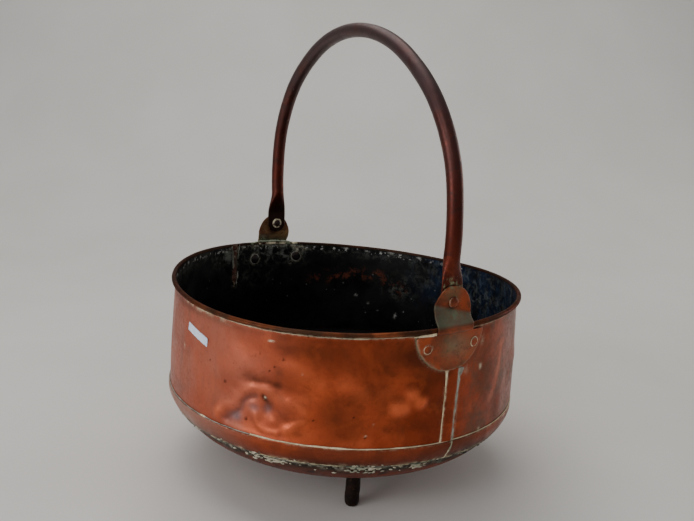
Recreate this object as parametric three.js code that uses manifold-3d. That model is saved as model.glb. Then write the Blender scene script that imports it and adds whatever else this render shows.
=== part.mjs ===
// Round riveted copper bucket on three peg feet with a swinging tube bail.
// Millimetres, +Z up. Origin: floor level, under the middle of the rim.
// The bail's hinge axis lies along X; ear_near is at +X, ear_far at -X.
import * as THREE from 'three';
import { mergeVertices } from 'three/addons/utils/BufferGeometryUtils.js';
import Module from 'manifold-3d';

const wasm = await Module();
wasm.setup();

// ---------------------------------------------------------------- dimensions
const RIM_R = 228;            // radius to the middle of the rolled bead
const RIM_Z = 245.3;          // mean height of the rim plane above the floor
const BEAD_R = 2.9;           // outer radius of the rolled bead
const WIRE_R = 1.4;           // iron wire inside the bead
const SHEET = 1.2;            // copper sheet of the wall
const WALL_H = 133.6;         // rim plane down to the top edge of the band
const WALL_LAP = 138.5;       // rim plane down to the wall's own lower edge
const WALL_OUT_TOP = 226.2;   // outer wall radius at the rim
const WALL_OUT_LOW = 226.6;   // outer wall radius at the band
const BAND_T = 1.4;
const BAND_LOW = 156.3;       // rim plane down to the band's lower edge
const PAN_T = 1.6;
const BASE_H = 198.9;         // rim plane down to the underside of the pan
const CORNER_W = 70.9;        // how far the base corner curves in
const CORNER_TOP = 138.9;     // where the corner starts to curve
const CORNER_P = 1.53;        // squareness of the base corner
const BASE_OUT = 228.4;       // outer radius of the band
const GAP = 0.3;              // clearance between touching pieces
// rim set out of round by use: saddle of the rim and slightly oval mouth
const OVAL_C = 0.0105, OVAL_S = -0.015, SADDLE_C = 1.51, SADDLE_S = 4.28;
// ears
const EAR_T = 2.0, EAR_TAB_IN = 222.3, EAR_TAB_R = 25.5, EAR_TAB_MID = 22.5;
const EAR_NECK = 24.0, EAR_PATCH_R = 46.0, EAR_CREASE = 19;
const RIVET_Y = 32.0, RIVET_DROP = 19.8, RIVET_R = 3.0, RIVET_END_R = 5.3, RIVET_HEAD_R = 6.7;
const FAR_LEFT_Y = 39.2, FAR_RIGHT_Y = 33.0, FAR_RIGHT_DROP = 22.6;   // the far ear's rivets are set wider and not level
const FAR_PATCH_GROW = 1.065, FAR_PATCH_SHIFT = -2.8;                 // so its patch is a little larger and off centre
const FAR_TAB_PLAY = 0.7;     // side play beside the far tab, which the sloping hinge line needs
// bail
const PIVOT_Z = 29.3, PIVOT_Z_FAR = 36.0;   // near and far ends of the hinge above the rim plane
const TUBE_R = 9.1, TUBE_T = 1.4, BAIL_TOP = 318.1, BAIL_LEAN = 1.77;
const FLAT_MID = 220.3, FLAT_HALF_T = 1.7, FLAT_HALF_W = 14.0, SLIT = 0.6;
const BAIL_PTS = [[212.9, 15.8], [212.9, 29.2], [214.3, 55], [217.8, 110.1], [206.9, 179.4], [169.2, 242.9], [110.2, 289.2], [56.8, 310.9], [0, 318.1]];
const PIVOT_R = 3.4;
// feet
const FOOT_R = 9.1, FOOT_RING = 146, FOOT_ANGLE = -22;
// seams
const SEAM_NEAR = 1.5, SEAM_FAR = 198.5, SEAM_W = 15.5, SEAM_T = 1.0;
const LABEL_ANGLE = 280.8, LABEL_DROP = 37.3, LABEL_W = 45, LABEL_H = 10.5, LABEL_TURN = -10;
const SEG = 48;

// ---------------------------------------------------------------- helpers
const rad = (d) => d * Math.PI / 180;
const clamp = (v, a, b) => Math.min(b, Math.max(a, v));
const smooth = (a, b, v) => { const t = clamp((v - a) / (b - a), 0, 1); return t * t * (3 - 2 * t); };

function toManifold(geom) {
  let g = geom.clone();
  g.deleteAttribute('normal'); g.deleteAttribute('uv');
  g = mergeVertices(g, 1e-4);
  const idx = g.index.array, pos = g.attributes.position;
  const tris = [];
  for (let i = 0; i < idx.length; i += 3) {
    const [a, b, c] = [idx[i], idx[i + 1], idx[i + 2]];
    if (a !== b && b !== c && c !== a) tris.push(a, b, c);
  }
  const m = new wasm.Manifold(new wasm.Mesh({ numProp: 3, vertProperties: new Float32Array(pos.array), triVerts: new Uint32Array(tris) }));
  return m.volume() < 0 ? fail('inside out') : m;
}
function fail(t) { throw new Error(t); }
function toGeometry(m) {
  const k = m.getMesh();
  const g = new THREE.BufferGeometry();
  const n = k.numProp, v = k.vertProperties, p = new Float32Array(v.length / n * 3);
  for (let i = 0; i < v.length / n; i++) { p[3 * i] = v[n * i]; p[3 * i + 1] = v[n * i + 1]; p[3 * i + 2] = v[n * i + 2]; }
  g.setAttribute('position', new THREE.BufferAttribute(p, 3));
  g.setIndex(new THREE.BufferAttribute(new Uint32Array(k.triVerts), 1));
  return g;
}
function mapPoints(geom, fn) {
  const p = geom.attributes.position;
  for (let i = 0; i < p.count; i++) {
    const q = fn(p.getX(i), p.getY(i), p.getZ(i));
    p.setXYZ(i, q[0], q[1], q[2]);
  }
  return geom;
}
// Lathe about Z from [radius, height] pairs; wound so that faces point out.
function lathe(pts, segments = SEG) {
  let area = 0;
  for (let i = 0; i < pts.length; i++) {
    const [a, b] = [pts[i], pts[(i + 1) % pts.length]];
    area += a[0] * b[1] - b[0] * a[1];
  }
  const list = area > 0 ? pts : [...pts].reverse();
  const onAxis = pts.some((q) => q[0] === 0);
  let ring = list;
  if (onAxis) {                       // start and end on the axis
    let k = 0;
    while (!(ring[0][0] === 0 && ring[ring.length - 1][0] === 0) && k++ < list.length) ring = [...ring.slice(1), ring[0]];
  } else ring = [...list, list[0]];
  const g = new THREE.LatheGeometry(ring.map((q) => new THREE.Vector2(q[0], q[1])), segments);
  return g.rotateX(Math.PI / 2);      // lathe axis Y becomes Z
}
// Out-of-round and saddle shape of the mouth; fades out towards the band and
// towards the tabs of the ears. z is measured from the rim plane.
function wear(x, y, z) {
  const w = z <= 0 ? Math.pow(1 - clamp(-z / WALL_H, 0, 1), 1.3) : 1 - smooth(4, 15, z);
  const t = Math.atan2(y, x), c = Math.cos(2 * t), s = Math.sin(2 * t);
  const k = 1 + w * (OVAL_C * c + OVAL_S * s);
  return [x * k, y * k, z + w * (SADDLE_C * c + SADDLE_S * s)];
}
const placed = (geom) => mapPoints(geom, (x, y, z) => { const q = wear(x, y, z); return [q[0], q[1], q[2] + RIM_Z]; });
const lifted = (geom) => geom.translate(0, 0, RIM_Z);
// rod from the inside to the outside along +X at height z, turned by angle
function rod(r, x0, x1, z, angle, seg = 12) {
  return new THREE.CylinderGeometry(r, r, x1 - x0, seg).rotateZ(-Math.PI / 2).translate((x0 + x1) / 2, 0, z).rotateZ(angle);
}
const group = new THREE.Group();
group.name = 'copper_bucket';
const COPPER = { color: 0xa4492c, roughness: 0.42, metalness: 1 };
const DARK = { color: 0x5a2a20, roughness: 0.5, metalness: 1 };
const IRON = { color: 0x39302b, roughness: 0.75, metalness: 0.9 };
function add(name, geom, look) {
  const g = geom.index ? geom.toNonIndexed() : geom;
  g.computeVertexNormals();
  const m = new THREE.Mesh(geom, new THREE.MeshStandardMaterial(look));
  m.name = name;
  group.add(m);
}

// ---------------------------------------------------------------- wall sheets
const wallOut = (z) => WALL_OUT_TOP + (WALL_OUT_LOW - WALL_OUT_TOP) * clamp(-z / WALL_H, 0, 1);
const BEAD_MID = WALL_OUT_TOP - SHEET + BEAD_R;
const beadArc = (r, a0, a1, n) => Array.from({ length: n + 1 }, (_, i) => {
  const a = rad(a0 + (a1 - a0) * i / n);
  return [BEAD_MID + r * Math.cos(a), r * Math.sin(a)];
});
const levels = [-14, -45, -80, -110];
const wallProfile = [
  ...levels.slice().reverse().map((z) => [wallOut(z) - SHEET, z]),
  ...beadArc(BEAD_R, 180, -120, 9),            // over the top and down the outside
  ...beadArc(BEAD_R - SHEET, -120, 180, 7),    // back along the inside of the roll
  ...levels.map((z) => [wallOut(z), z]),
  [WALL_OUT_LOW, -WALL_LAP], [WALL_OUT_LOW - SHEET, -WALL_LAP],
];
// the roll's inner end joins the wall's outer face a little below the bead
wallProfile.splice(levels.length + 10 + 8, 0, [WALL_OUT_TOP, -5]);
let wall = toManifold(lathe(wallProfile));
const rivetAngle = Math.asin(RIVET_Y / 229);
const rivetSites = [['near_left', -rivetAngle, RIVET_DROP], ['near_right', rivetAngle, RIVET_DROP],
  ['far_left', Math.PI - Math.asin(FAR_LEFT_Y / 229), RIVET_DROP], ['far_right', Math.PI + Math.asin(FAR_RIGHT_Y / 229), FAR_RIGHT_DROP]];
for (const [, a, drop] of rivetSites) wall = wall.subtract(toManifold(rod(RIVET_R + GAP, 210, 240, -drop, a)));
for (const a of [SEAM_NEAR, SEAM_FAR]) {
  const slot = new THREE.BoxGeometry(30, 0.4, 180).translate(226, 0, -80).rotateZ(rad(a));
  wall = wall.subtract(toManifold(slot));
}
const sheets = wall.decompose();
if (sheets.length !== 2) fail('wall sheets: ' + sheets.length);
for (const s of sheets) {
  const b = s.boundingBox();
  const front = (b.min[1] + b.max[1]) < 0;
  add(front ? 'wall_sheet_front' : 'wall_sheet_back', placed(toGeometry(s)), COPPER);
}

// iron wire that the rim is rolled over
const wire = Array.from({ length: 6 }, (_, i) => { const a = rad(60 * i + 30); return [BEAD_MID + WIRE_R * Math.cos(a), WIRE_R * Math.sin(a)]; });
add('rim_wire', placed(lathe(wire)), IRON);

// seam strips over the two upright joints
function strip(angle, zTop, zLow, width, thick, nz) {
  const g = new THREE.BoxGeometry(thick, width, zTop - zLow, 1, 5, nz).translate(0, 0, (zTop + zLow) / 2);
  return mapPoints(g, (x, y, z) => {
    const r = wallOut(z) + GAP + thick / 2 + x, t = y / r + rad(angle);
    return [r * Math.cos(t), r * Math.sin(t), z];
  });
}
add('seam_strip_near', placed(strip(SEAM_NEAR, -EAR_PATCH_R - 2.2, -WALL_H + 1.2, SEAM_W, SEAM_T, 6)), COPPER);
add('seam_strip_far', placed(strip(SEAM_FAR, -6, -WALL_H + 1.2, SEAM_W, SEAM_T, 8)), COPPER);

// blank paper label stuck on the front of the wall
{
  const g = new THREE.BoxGeometry(0.4, LABEL_W, LABEL_H, 1, 6, 1).rotateX(rad(LABEL_TURN));
  add('paper_label', placed(mapPoints(g, (x, y, z) => {
    const r = wallOut(-LABEL_DROP) + GAP + 0.2 + x, t = y / r + rad(LABEL_ANGLE);
    return [r * Math.cos(t), r * Math.sin(t), z - LABEL_DROP];
  })), { color: 0xc9d2d6, roughness: 0.9, metalness: 0 });
}

// ---------------------------------------------------------------- band and pan
// outer surface of the base corner, t from 0 (upright) to 1 (flat underside)
const corner = (t) => {
  const a = t * Math.PI / 2;
  return [BASE_OUT - CORNER_W * (1 - Math.pow(Math.cos(a), 2 / CORNER_P)), -CORNER_TOP - (BASE_H - CORNER_TOP) * Math.pow(Math.sin(a), 2 / CORNER_P)];
};
const cornerAt = (z) => {               // corner radius at a height
  if (z >= -CORNER_TOP) return BASE_OUT;
  let lo = 0, hi = 1;
  for (let i = 0; i < 40; i++) { const m = (lo + hi) / 2; if (corner(m)[1] > z) lo = m; else hi = m; }
  return corner(lo)[0];
};
const bandZ = [-WALL_H, -138.9, -147, -BAND_LOW];
add('base_band', lifted(lathe([
  ...bandZ.map((z) => [cornerAt(z), z]),
  ...[...bandZ].reverse().map((z) => [Math.min(cornerAt(z) - BAND_T, BASE_OUT - BAND_T), z]),
])), COPPER);
const panOuter = [];
for (const z of [-139.8, -147, -154]) panOuter.push([cornerAt(z) - BAND_T - GAP, z]);
for (const t of [0.3, 0.42, 0.54, 0.67, 0.82, 1.0]) {
  const [r, z] = corner(t);
  panOuter.push([r - (BAND_T + GAP) * (1 - smooth(0.25, 0.6, t)), z]);
}
const panInner = panOuter.map((q, i) => {
  const a = panOuter[Math.max(0, i - 1)], b = panOuter[Math.min(panOuter.length - 1, i + 1)];
  const l = Math.hypot(b[0] - a[0], b[1] - a[1]);
  return i === 0 ? [q[0] - PAN_T, q[1]] : i === panOuter.length - 1 ? [q[0] - 1.0, q[1] + PAN_T] : [q[0] + (b[1] - a[1]) / l * PAN_T, q[1] - (b[0] - a[0]) / l * PAN_T];
});
let pan = toManifold(lathe([[0, -BASE_H], ...[...panOuter].reverse(), ...panInner, [0, -BASE_H + PAN_T]]));
const SHANK_R = 4.0;
const footSites = [0, 1, 2].map((i) => rad(FOOT_ANGLE + 120 * i));
for (const a of footSites) {
  const hole = new THREE.CylinderGeometry(SHANK_R + GAP, SHANK_R + GAP, 30, 14).rotateX(Math.PI / 2).translate(FOOT_RING * Math.cos(a), FOOT_RING * Math.sin(a), -BASE_H);
  pan = pan.subtract(toManifold(hole));
}
add('bottom_pan', lifted(toGeometry(pan)), COPPER);

// ---------------------------------------------------------------- feet
const footBottom = -RIM_Z, footTop = -BASE_H - GAP;
footSites.forEach((a, i) => {
  const at = (g) => g.translate(FOOT_RING * Math.cos(a), FOOT_RING * Math.sin(a), RIM_Z);
  const peg = [[0, footBottom], [5.0, footBottom], [7.4, footBottom + 1.2], [8.7, footBottom + 3.6], [FOOT_R, footBottom + 7], [FOOT_R, footTop - 0.8], [FOOT_R - 0.8, footTop],
    [SHANK_R, footTop], [SHANK_R, -BASE_H + PAN_T + 2.1], [7.0, -BASE_H + PAN_T + 2.1], [6.2, -BASE_H + PAN_T + 3.9], [3.5, -BASE_H + PAN_T + 5.0], [0, -BASE_H + PAN_T + 5.3]];
  add('foot_' + (i + 1), at(lathe(peg, 16)), IRON);
  const z0 = -BASE_H + PAN_T + GAP;
  add('foot_washer_' + (i + 1), at(lathe([[SHANK_R + GAP, z0], [10, z0], [10, z0 + 1.5], [SHANK_R + GAP, z0 + 1.5]], 16)), DARK);
});

// ---------------------------------------------------------------- ears
// One plate each: a half-round patch on the wall, a neck cranked out over the
// bead and a round-topped tab that leans back in and stands upright.
function earPlate(grow, shift, tabIn) {
  const rows = [];                     // [height, half width]
  for (let i = 1; i <= 9; i++) { const a = rad(90 - 10 * i); rows.push([-EAR_PATCH_R * Math.sin(a) - 1.5, EAR_PATCH_R * Math.cos(a)]); }
  rows[rows.length - 1] = [-6.0, EAR_PATCH_R];
  rows.unshift([-EAR_PATCH_R - 1.5, 3.0]);
  rows.push([-5.6, EAR_PATCH_R - 1.2], [-5.2, EAR_NECK + 1], [-3.4, EAR_NECK], [-1.2, EAR_NECK], [1.2, EAR_NECK], [3.6, EAR_NECK], [7, EAR_NECK + 0.2], [12, EAR_NECK + 0.8], [EAR_CREASE, EAR_TAB_R - 0.2]);
  for (let i = 1; i <= 8; i++) { const a = rad(-2 + 11 * i); rows.push([EAR_TAB_MID + EAR_TAB_R * Math.sin(a), EAR_TAB_R * Math.cos(a)]); }
  const inner = (z, y) => {            // x of the inner face
    const wallR = wallOut(z) + GAP + (grow > 1 ? 0.25 : 0);
    const beadR = BEAD_MID + BEAD_R + GAP;
    if (z <= -5) return Math.sqrt((wallR) ** 2 - y * y);
    const rr = Math.sqrt(beadR ** 2 - y * y), low = Math.sqrt(wallR ** 2 - y * y);
    if (z < -3) return low + (rr - low) * smooth(-5.4, -3.2, z);
    if (z <= 3.6) return rr;
    const k = clamp((z - 3.6) / (EAR_CREASE - 3.6), 0, 1);
    return rr + (tabIn - rr) * k;
  };
  const n = 8, pos = [], idx = [];
  const id = (side, r, c) => (side * rows.length + r) * (n + 1) + c;
  for (const side of [0, 1]) for (const [z, b] of rows) for (let c = 0; c <= n; c++) {
    const patch = z <= -5.5 ? 1 : 0;
    const y = b * (patch ? grow : 1) * (2 * c / n - 1) + patch * shift;
    pos.push(inner(z, y) + side * EAR_T, y, z);
  }
  for (let r = 0; r < rows.length - 1; r++) for (let c = 0; c < n; c++) {
    idx.push(id(1, r, c), id(1, r, c + 1), id(1, r + 1, c + 1), id(1, r, c), id(1, r + 1, c + 1), id(1, r + 1, c));
    idx.push(id(0, r, c), id(0, r + 1, c + 1), id(0, r, c + 1), id(0, r, c), id(0, r + 1, c), id(0, r + 1, c + 1));
  }
  const loop = [];
  for (let c = 0; c <= n; c++) loop.push([0, c]);
  for (let r = 1; r < rows.length; r++) loop.push([r, n]);
  for (let c = n - 1; c >= 0; c--) loop.push([rows.length - 1, c]);
  for (let r = rows.length - 2; r >= 1; r--) loop.push([r, 0]);
  loop.forEach(([r, c], i) => {
    const [r2, c2] = loop[(i + 1) % loop.length];
    idx.push(id(0, r, c), id(0, r2, c2), id(1, r2, c2), id(0, r, c), id(1, r2, c2), id(1, r, c));
  });
  const g = new THREE.BufferGeometry();
  g.setAttribute('position', new THREE.Float32BufferAttribute(pos, 3));
  g.setIndex(idx);
  return g;
}
for (const [name, turn] of [['ear_near', 0], ['ear_far', Math.PI]]) {
  let ear = toManifold(turn ? earPlate(FAR_PATCH_GROW, FAR_PATCH_SHIFT, EAR_TAB_IN + FAR_TAB_PLAY) : earPlate(1, 0, EAR_TAB_IN));
  for (const [site, a, drop] of rivetSites) if (site.startsWith(name.slice(4))) ear = ear.subtract(toManifold(rod(RIVET_R + GAP, 215, 240, -drop, a - turn)));
  ear = ear.subtract(toManifold(rod(PIVOT_R + GAP, 210, 235, turn ? PIVOT_Z_FAR : PIVOT_Z, 0)));
  add(name, placed(toGeometry(ear).rotateZ(turn)), COPPER);
}

// ---------------------------------------------------------------- rivets
// profile along the rivet's own axis: inside end at low numbers
function rivet(shank, inX, headX, tailR, tailH, headR, headH) {
  return lathe([[0, inX - tailH], [tailR * 0.55, inX - tailH * 0.92], [tailR * 0.9, inX - tailH * 0.5], [tailR, inX],
    [shank, inX], [shank, headX], [headR, headX], [headR * 0.93, headX + headH * 0.42], [headR * 0.62, headX + headH * 0.85], [0, headX + headH]], 12)
    .rotateY(Math.PI / 2);
}
const ring = (r0, r1, x0, x1) => lathe([[r0, x0], [r1, x0], [r1, x1], [r0, x1]], 14).rotateY(Math.PI / 2);
const patchIn = wallOut(-RIVET_DROP) - SHEET;            // inner wall face at the rivets
const patchOut = wallOut(-RIVET_DROP) + GAP + EAR_T;     // outer ear face at the rivets
for (const [name, a, drop] of rivetSites) {
  add('rivet_' + name, placed(rivet(RIVET_R, patchIn - 0.8, patchOut + GAP, RIVET_HEAD_R, 3.4, RIVET_END_R, 1.0).translate(0, 0, -drop).rotateZ(a)), DARK);
}
const flatIn = FLAT_MID - FLAT_HALF_T, tabOut = EAR_TAB_IN + EAR_T;
for (const [name, turn, height] of [['near', 0, PIVOT_Z], ['far', Math.PI, PIVOT_Z_FAR]]) {
  add('pivot_rivet_' + name, lifted(rivet(PIVOT_R, flatIn - 1.9, tabOut + GAP + (turn ? FAR_TAB_PLAY : 0), 5.2, 2.4, 6.2, 2.6).translate(0, 0, height).rotateZ(turn)), DARK);
  add('pivot_washer_' + name, lifted(ring(PIVOT_R + GAP, 7.4, flatIn - 1.5, flatIn - 0.3).translate(0, 0, height).rotateZ(turn)), DARK);
}

// ---------------------------------------------------------------- bail
const side = BAIL_PTS.map(([x, z]) => new THREE.Vector3(x, 0, z));
const rise = PIVOT_Z_FAR - PIVOT_Z;    // the far end sits higher by this
const arch = new THREE.CatmullRomCurve3([...side, ...side.slice(0, -1).reverse().map((v) => new THREE.Vector3(-v.x, 0, v.z < 40 ? v.z + rise : v.z))], false, 'centripetal');
const archLen = arch.getLength();
const stations = [];
{
  const fine = [0, 1.5, 4, 8, 13, 20, 27, 33, 39, 46, 54, 63, 74];
  const mid = 24;
  for (const s of fine) stations.push(s);
  for (let i = 1; i < mid; i++) stations.push(74 + (archLen - 148) * i / mid);
  for (const s of [...fine].reverse()) stations.push(archLen - s);
}
const RING = 12;
function section(s, inner) {
  const u = s / archLen, p = arch.getPointAt(u), t = arch.getTangentAt(u);
  // direction across the tube in the arch's plane, pointing outward
  const ox = t.z, oz = -t.x;
  const end = s < archLen / 2 ? 1 : -1;
  const h = p.z - (end > 0 ? PIVOT_Z : PIVOT_Z_FAR);
  const f = 1 - smooth(15, 50, h);
  const low = Math.max(0, -h);
  const hw = Math.sqrt(Math.max(16, FLAT_HALF_W ** 2 - low * low));
  const out = [];
  for (let i = 0; i < RING; i++) {
    const a = 2 * Math.PI * i / RING, ca = Math.cos(a), sa = Math.sin(a);
    const r = inner ? TUBE_R - TUBE_T : TUBE_R;
    const rx = p.x + ox * r * ca, ry = r * sa, rz = p.z + oz * r * ca;
    const W = inner ? hw - TUBE_T : hw, T = inner ? SLIT / 2 : FLAT_HALF_T;
    const sg = Math.sign, fx = end * (FLAT_MID + (ox * end > 0 ? 1 : -1) * T * sg(ca) * Math.pow(Math.abs(ca), 0.45));
    const fy = W * sg(sa) * Math.pow(Math.abs(sa), 0.85);
    out.push([rx + (fx - rx) * f, ry + (fy - ry) * f, rz + (p.z - rz) * f]);
  }
  return out;
}
const pos = [], idx = [];
const rings = stations.length;
for (const inner of [false, true]) for (const s of stations) for (const q of section(s, inner)) pos.push(...q);
const vid = (inner, r, c) => ((inner ? rings : 0) + r) * RING + (c % RING);
for (let r = 0; r < rings - 1; r++) for (let c = 0; c < RING; c++) {
  const o = [vid(0, r, c), vid(0, r, c + 1), vid(0, r + 1, c + 1), vid(0, r + 1, c)];
  const n = [vid(1, r, c), vid(1, r, c + 1), vid(1, r + 1, c + 1), vid(1, r + 1, c)];
  idx.push(o[0], o[1], o[2], o[0], o[2], o[3], n[0], n[2], n[1], n[0], n[3], n[2]);
}
for (let c = 0; c < RING; c++) {
  const e = rings - 1;
  idx.push(vid(0, 0, c), vid(1, 0, c + 1), vid(0, 0, c + 1), vid(0, 0, c), vid(1, 0, c), vid(1, 0, c + 1));
  idx.push(vid(0, e, c), vid(0, e, c + 1), vid(1, e, c + 1), vid(0, e, c), vid(1, e, c + 1), vid(1, e, c));
}
const tube = new THREE.BufferGeometry();
tube.setAttribute('position', new THREE.Float32BufferAttribute(pos, 3));
tube.setIndex(idx);
{
  // wind outward whichever way the sections run
  const v = new THREE.Vector3(), w = new THREE.Vector3(), q = new THREE.Vector3(), a = tube.attributes.position;
  let vol = 0;
  for (let i = 0; i < idx.length; i += 3) { v.fromBufferAttribute(a, idx[i]); w.fromBufferAttribute(a, idx[i + 1]); q.fromBufferAttribute(a, idx[i + 2]); vol += v.dot(w.cross(q)); }
  if (vol < 0) { for (let i = 0; i < idx.length; i += 3) { const k = idx[i + 1]; idx[i + 1] = idx[i + 2]; idx[i + 2] = k; } tube.setIndex(idx); }
}
let bail = toManifold(tube);
for (const turn of [0, Math.PI]) bail = bail.subtract(toManifold(rod(PIVOT_R + GAP, 205, 235, turn ? PIVOT_Z_FAR : PIVOT_Z, turn)));
const hingeMid = (PIVOT_Z + PIVOT_Z_FAR) / 2;
const hinge = new THREE.Vector3(2 * FLAT_MID, 0, PIVOT_Z - PIVOT_Z_FAR).normalize();
const bailGeom = toGeometry(bail).translate(0, 0, -hingeMid).applyMatrix4(new THREE.Matrix4().makeRotationAxis(hinge, rad(BAIL_LEAN))).translate(0, 0, hingeMid);
add('bail_handle', lifted(bailGeom), DARK);

export default group;
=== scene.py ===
import math
import bpy
import numpy as np
from mathutils import Matrix, Vector


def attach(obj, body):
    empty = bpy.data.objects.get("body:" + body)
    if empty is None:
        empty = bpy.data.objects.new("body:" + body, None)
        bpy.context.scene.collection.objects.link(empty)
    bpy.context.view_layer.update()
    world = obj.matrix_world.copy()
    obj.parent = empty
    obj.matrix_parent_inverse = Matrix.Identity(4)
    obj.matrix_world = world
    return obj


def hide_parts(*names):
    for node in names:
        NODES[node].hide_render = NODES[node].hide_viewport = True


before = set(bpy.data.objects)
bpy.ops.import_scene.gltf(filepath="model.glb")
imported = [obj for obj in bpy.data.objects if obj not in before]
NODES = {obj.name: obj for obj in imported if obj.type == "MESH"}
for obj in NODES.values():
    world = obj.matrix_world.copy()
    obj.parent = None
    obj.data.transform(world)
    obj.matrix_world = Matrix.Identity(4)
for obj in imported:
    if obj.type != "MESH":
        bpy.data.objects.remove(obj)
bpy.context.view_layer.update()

# ------------------------------------------------------------------ sizes, mm
RIM_Z = 245.3
BEAD_R, SHEET = 2.9, 1.2
WALL_H, WALL_LAP = 133.6, 138.5
OUT_TOP, OUT_LOW = 226.2, 226.6
BAND_T, BAND_LOW = 1.4, 156.3
PAN_T, BASE_H = 1.6, 198.9
CORNER_W, CORNER_TOP, CORNER_P, BASE_OUT = 70.9, 138.9, 1.53, 228.4
OVAL_C, OVAL_S, SADDLE_C, SADDLE_S = 0.0105, -0.015, 1.51, 4.28
EAR_T, TAB_IN, TAB_R, TAB_MID, CREASE = 2.0, 222.3, 25.5, 22.5, 19.0
NECK, PATCH_R = 24.0, 46.0
RIVET_Y, RIVET_DROP = 32.0, 19.8
PIVOT_Z, PIVOT_FAR, LEAN = 29.3, 36.0, math.radians(1.77)
TUBE_R, TUBE_T = 9.1, 1.4
FLAT_MID, FLAT_T, FLAT_W, SLIT = 220.3, 1.7, 14.0, 0.6
FOOT_RING, FOOT_ANGLE, FOOT_R = 146.0, -22.0, 9.1
SEAM_NEAR, SEAM_FAR, SEAM_W = 1.5, 198.5, 15.5
BEAD_MID = OUT_TOP - SHEET + BEAD_R
RIVET_A = math.asin(RIVET_Y / 229)
RIVETS = (("near_left", -RIVET_A, 19.8), ("near_right", RIVET_A, 19.8), ("far_left", math.pi - math.asin(39.2 / 229), 19.8), ("far_right", math.pi + math.asin(33.0 / 229), 22.6))
FAR_GROW, FAR_SHIFT = 1.065, -2.8


def smooth(a, b, v):
    t = np.clip((np.asarray(v, float) - a) / (b - a), 0, 1)
    return t * t * (3 - 2 * t)


# ------------------------------------------------------------------ noise
def _hash(ix, iy, iz, seed):
    h = (ix * 374761393 + iy * 668265263 + iz * 2147483647 + seed * 1274126177) & 0xFFFFFFFF
    h = ((h ^ (h >> 13)) * 1274126177) & 0xFFFFFFFF
    h = ((h ^ (h >> 15)) * 2246822519) & 0xFFFFFFFF
    return ((h ^ (h >> 16)) & 0xFFFFFF) / float(0xFFFFFF) * 2 - 1


def noise(p, scale, seed=0):
    """Smooth value noise, -1..1; p is (..., 3) in mm, scale is the size of a lump in mm."""
    q = np.asarray(p, float) / scale + 1000.0
    i = np.floor(q).astype(np.int64)
    f = q - i
    f = f * f * f * (f * (f * 6 - 15) + 10)
    out = 0
    for dx in (0, 1):
        wx = f[..., 0] if dx else 1 - f[..., 0]
        for dy in (0, 1):
            wy = f[..., 1] if dy else 1 - f[..., 1]
            for dz in (0, 1):
                wz = f[..., 2] if dz else 1 - f[..., 2]
                out = out + wx * wy * wz * _hash(i[..., 0] + dx, i[..., 1] + dy, i[..., 2] + dz, seed)
    return out


def fbm(p, scale, seed=0, octaves=3):
    out, a, tot = 0, 1.0, 0.0
    for k in range(octaves):
        out = out + a * noise(p, scale / 2 ** k, seed + 17 * k)
        tot += a
        a *= 0.5
    return out / tot


# ------------------------------------------------------------------ mesh tools
def make(name, verts, faces, body, replaces=(), mats=(), face_mat=None, attrs=None, sharp=40, smooth_it=True):
    me = bpy.data.meshes.new(name)
    v = np.asarray(verts, float).reshape(-1, 3) / 1000.0
    me.from_pydata(v.tolist(), [], [list(map(int, f)) for f in faces])
    me.validate(clean_customdata=False)
    for m in mats:
        me.materials.append(m)
    if face_mat is not None:
        me.polygons.foreach_set("material_index", np.asarray(face_mat, np.int32))
    for k, a in (attrs or {}).items():
        at = me.attributes.new(k, "FLOAT", "POINT")
        at.data.foreach_set("value", np.asarray(a, np.float32).ravel())
    if smooth_it:
        me.shade_smooth()
        me.set_sharp_from_angle(angle=math.radians(sharp))
    me.update()
    o = bpy.data.objects.new(name, me)
    bpy.context.scene.collection.objects.link(o)
    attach(o, body)
    if replaces:
        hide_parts(*replaces)
    return o


def grid_faces(nu, nv, close_u=False, close_v=False, flip=False, base=0):
    """Quads of an nu by nv grid of points, index = u * nv + v."""
    u = np.arange(nu if close_u else nu - 1)
    v = np.arange(nv if close_v else nv - 1)
    U, V = np.meshgrid(u, v, indexing="ij")
    U, V = U.ravel(), V.ravel()
    a, b = U * nv + V, ((U + 1) % nu) * nv + V
    c, d = ((U + 1) % nu) * nv + (V + 1) % nv, U * nv + (V + 1) % nv
    q = np.stack([a, b, c, d], -1) + base
    return q[:, ::-1] if flip else q


def orient(verts, faces):
    """Flips the faces if the closed shape is inside out."""
    v = np.asarray(verts, float).reshape(-1, 3)
    vol = 0.0
    for n in (3, 4):
        q = np.array([f for f in faces if len(f) == n])
        if len(q):
            for k in range(1, n - 1):
                vol += np.einsum("ij,ij->i", v[q[:, 0]], np.cross(v[q[:, k]], v[q[:, k + 1]])).sum()
    for f in faces:
        if len(f) > 4:
            p = v[list(f)]
            for k in range(1, len(f) - 1):
                vol += np.dot(p[0], np.cross(p[k], p[k + 1]))
    return faces if vol > 0 else [list(f)[::-1] for f in faces]


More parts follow.
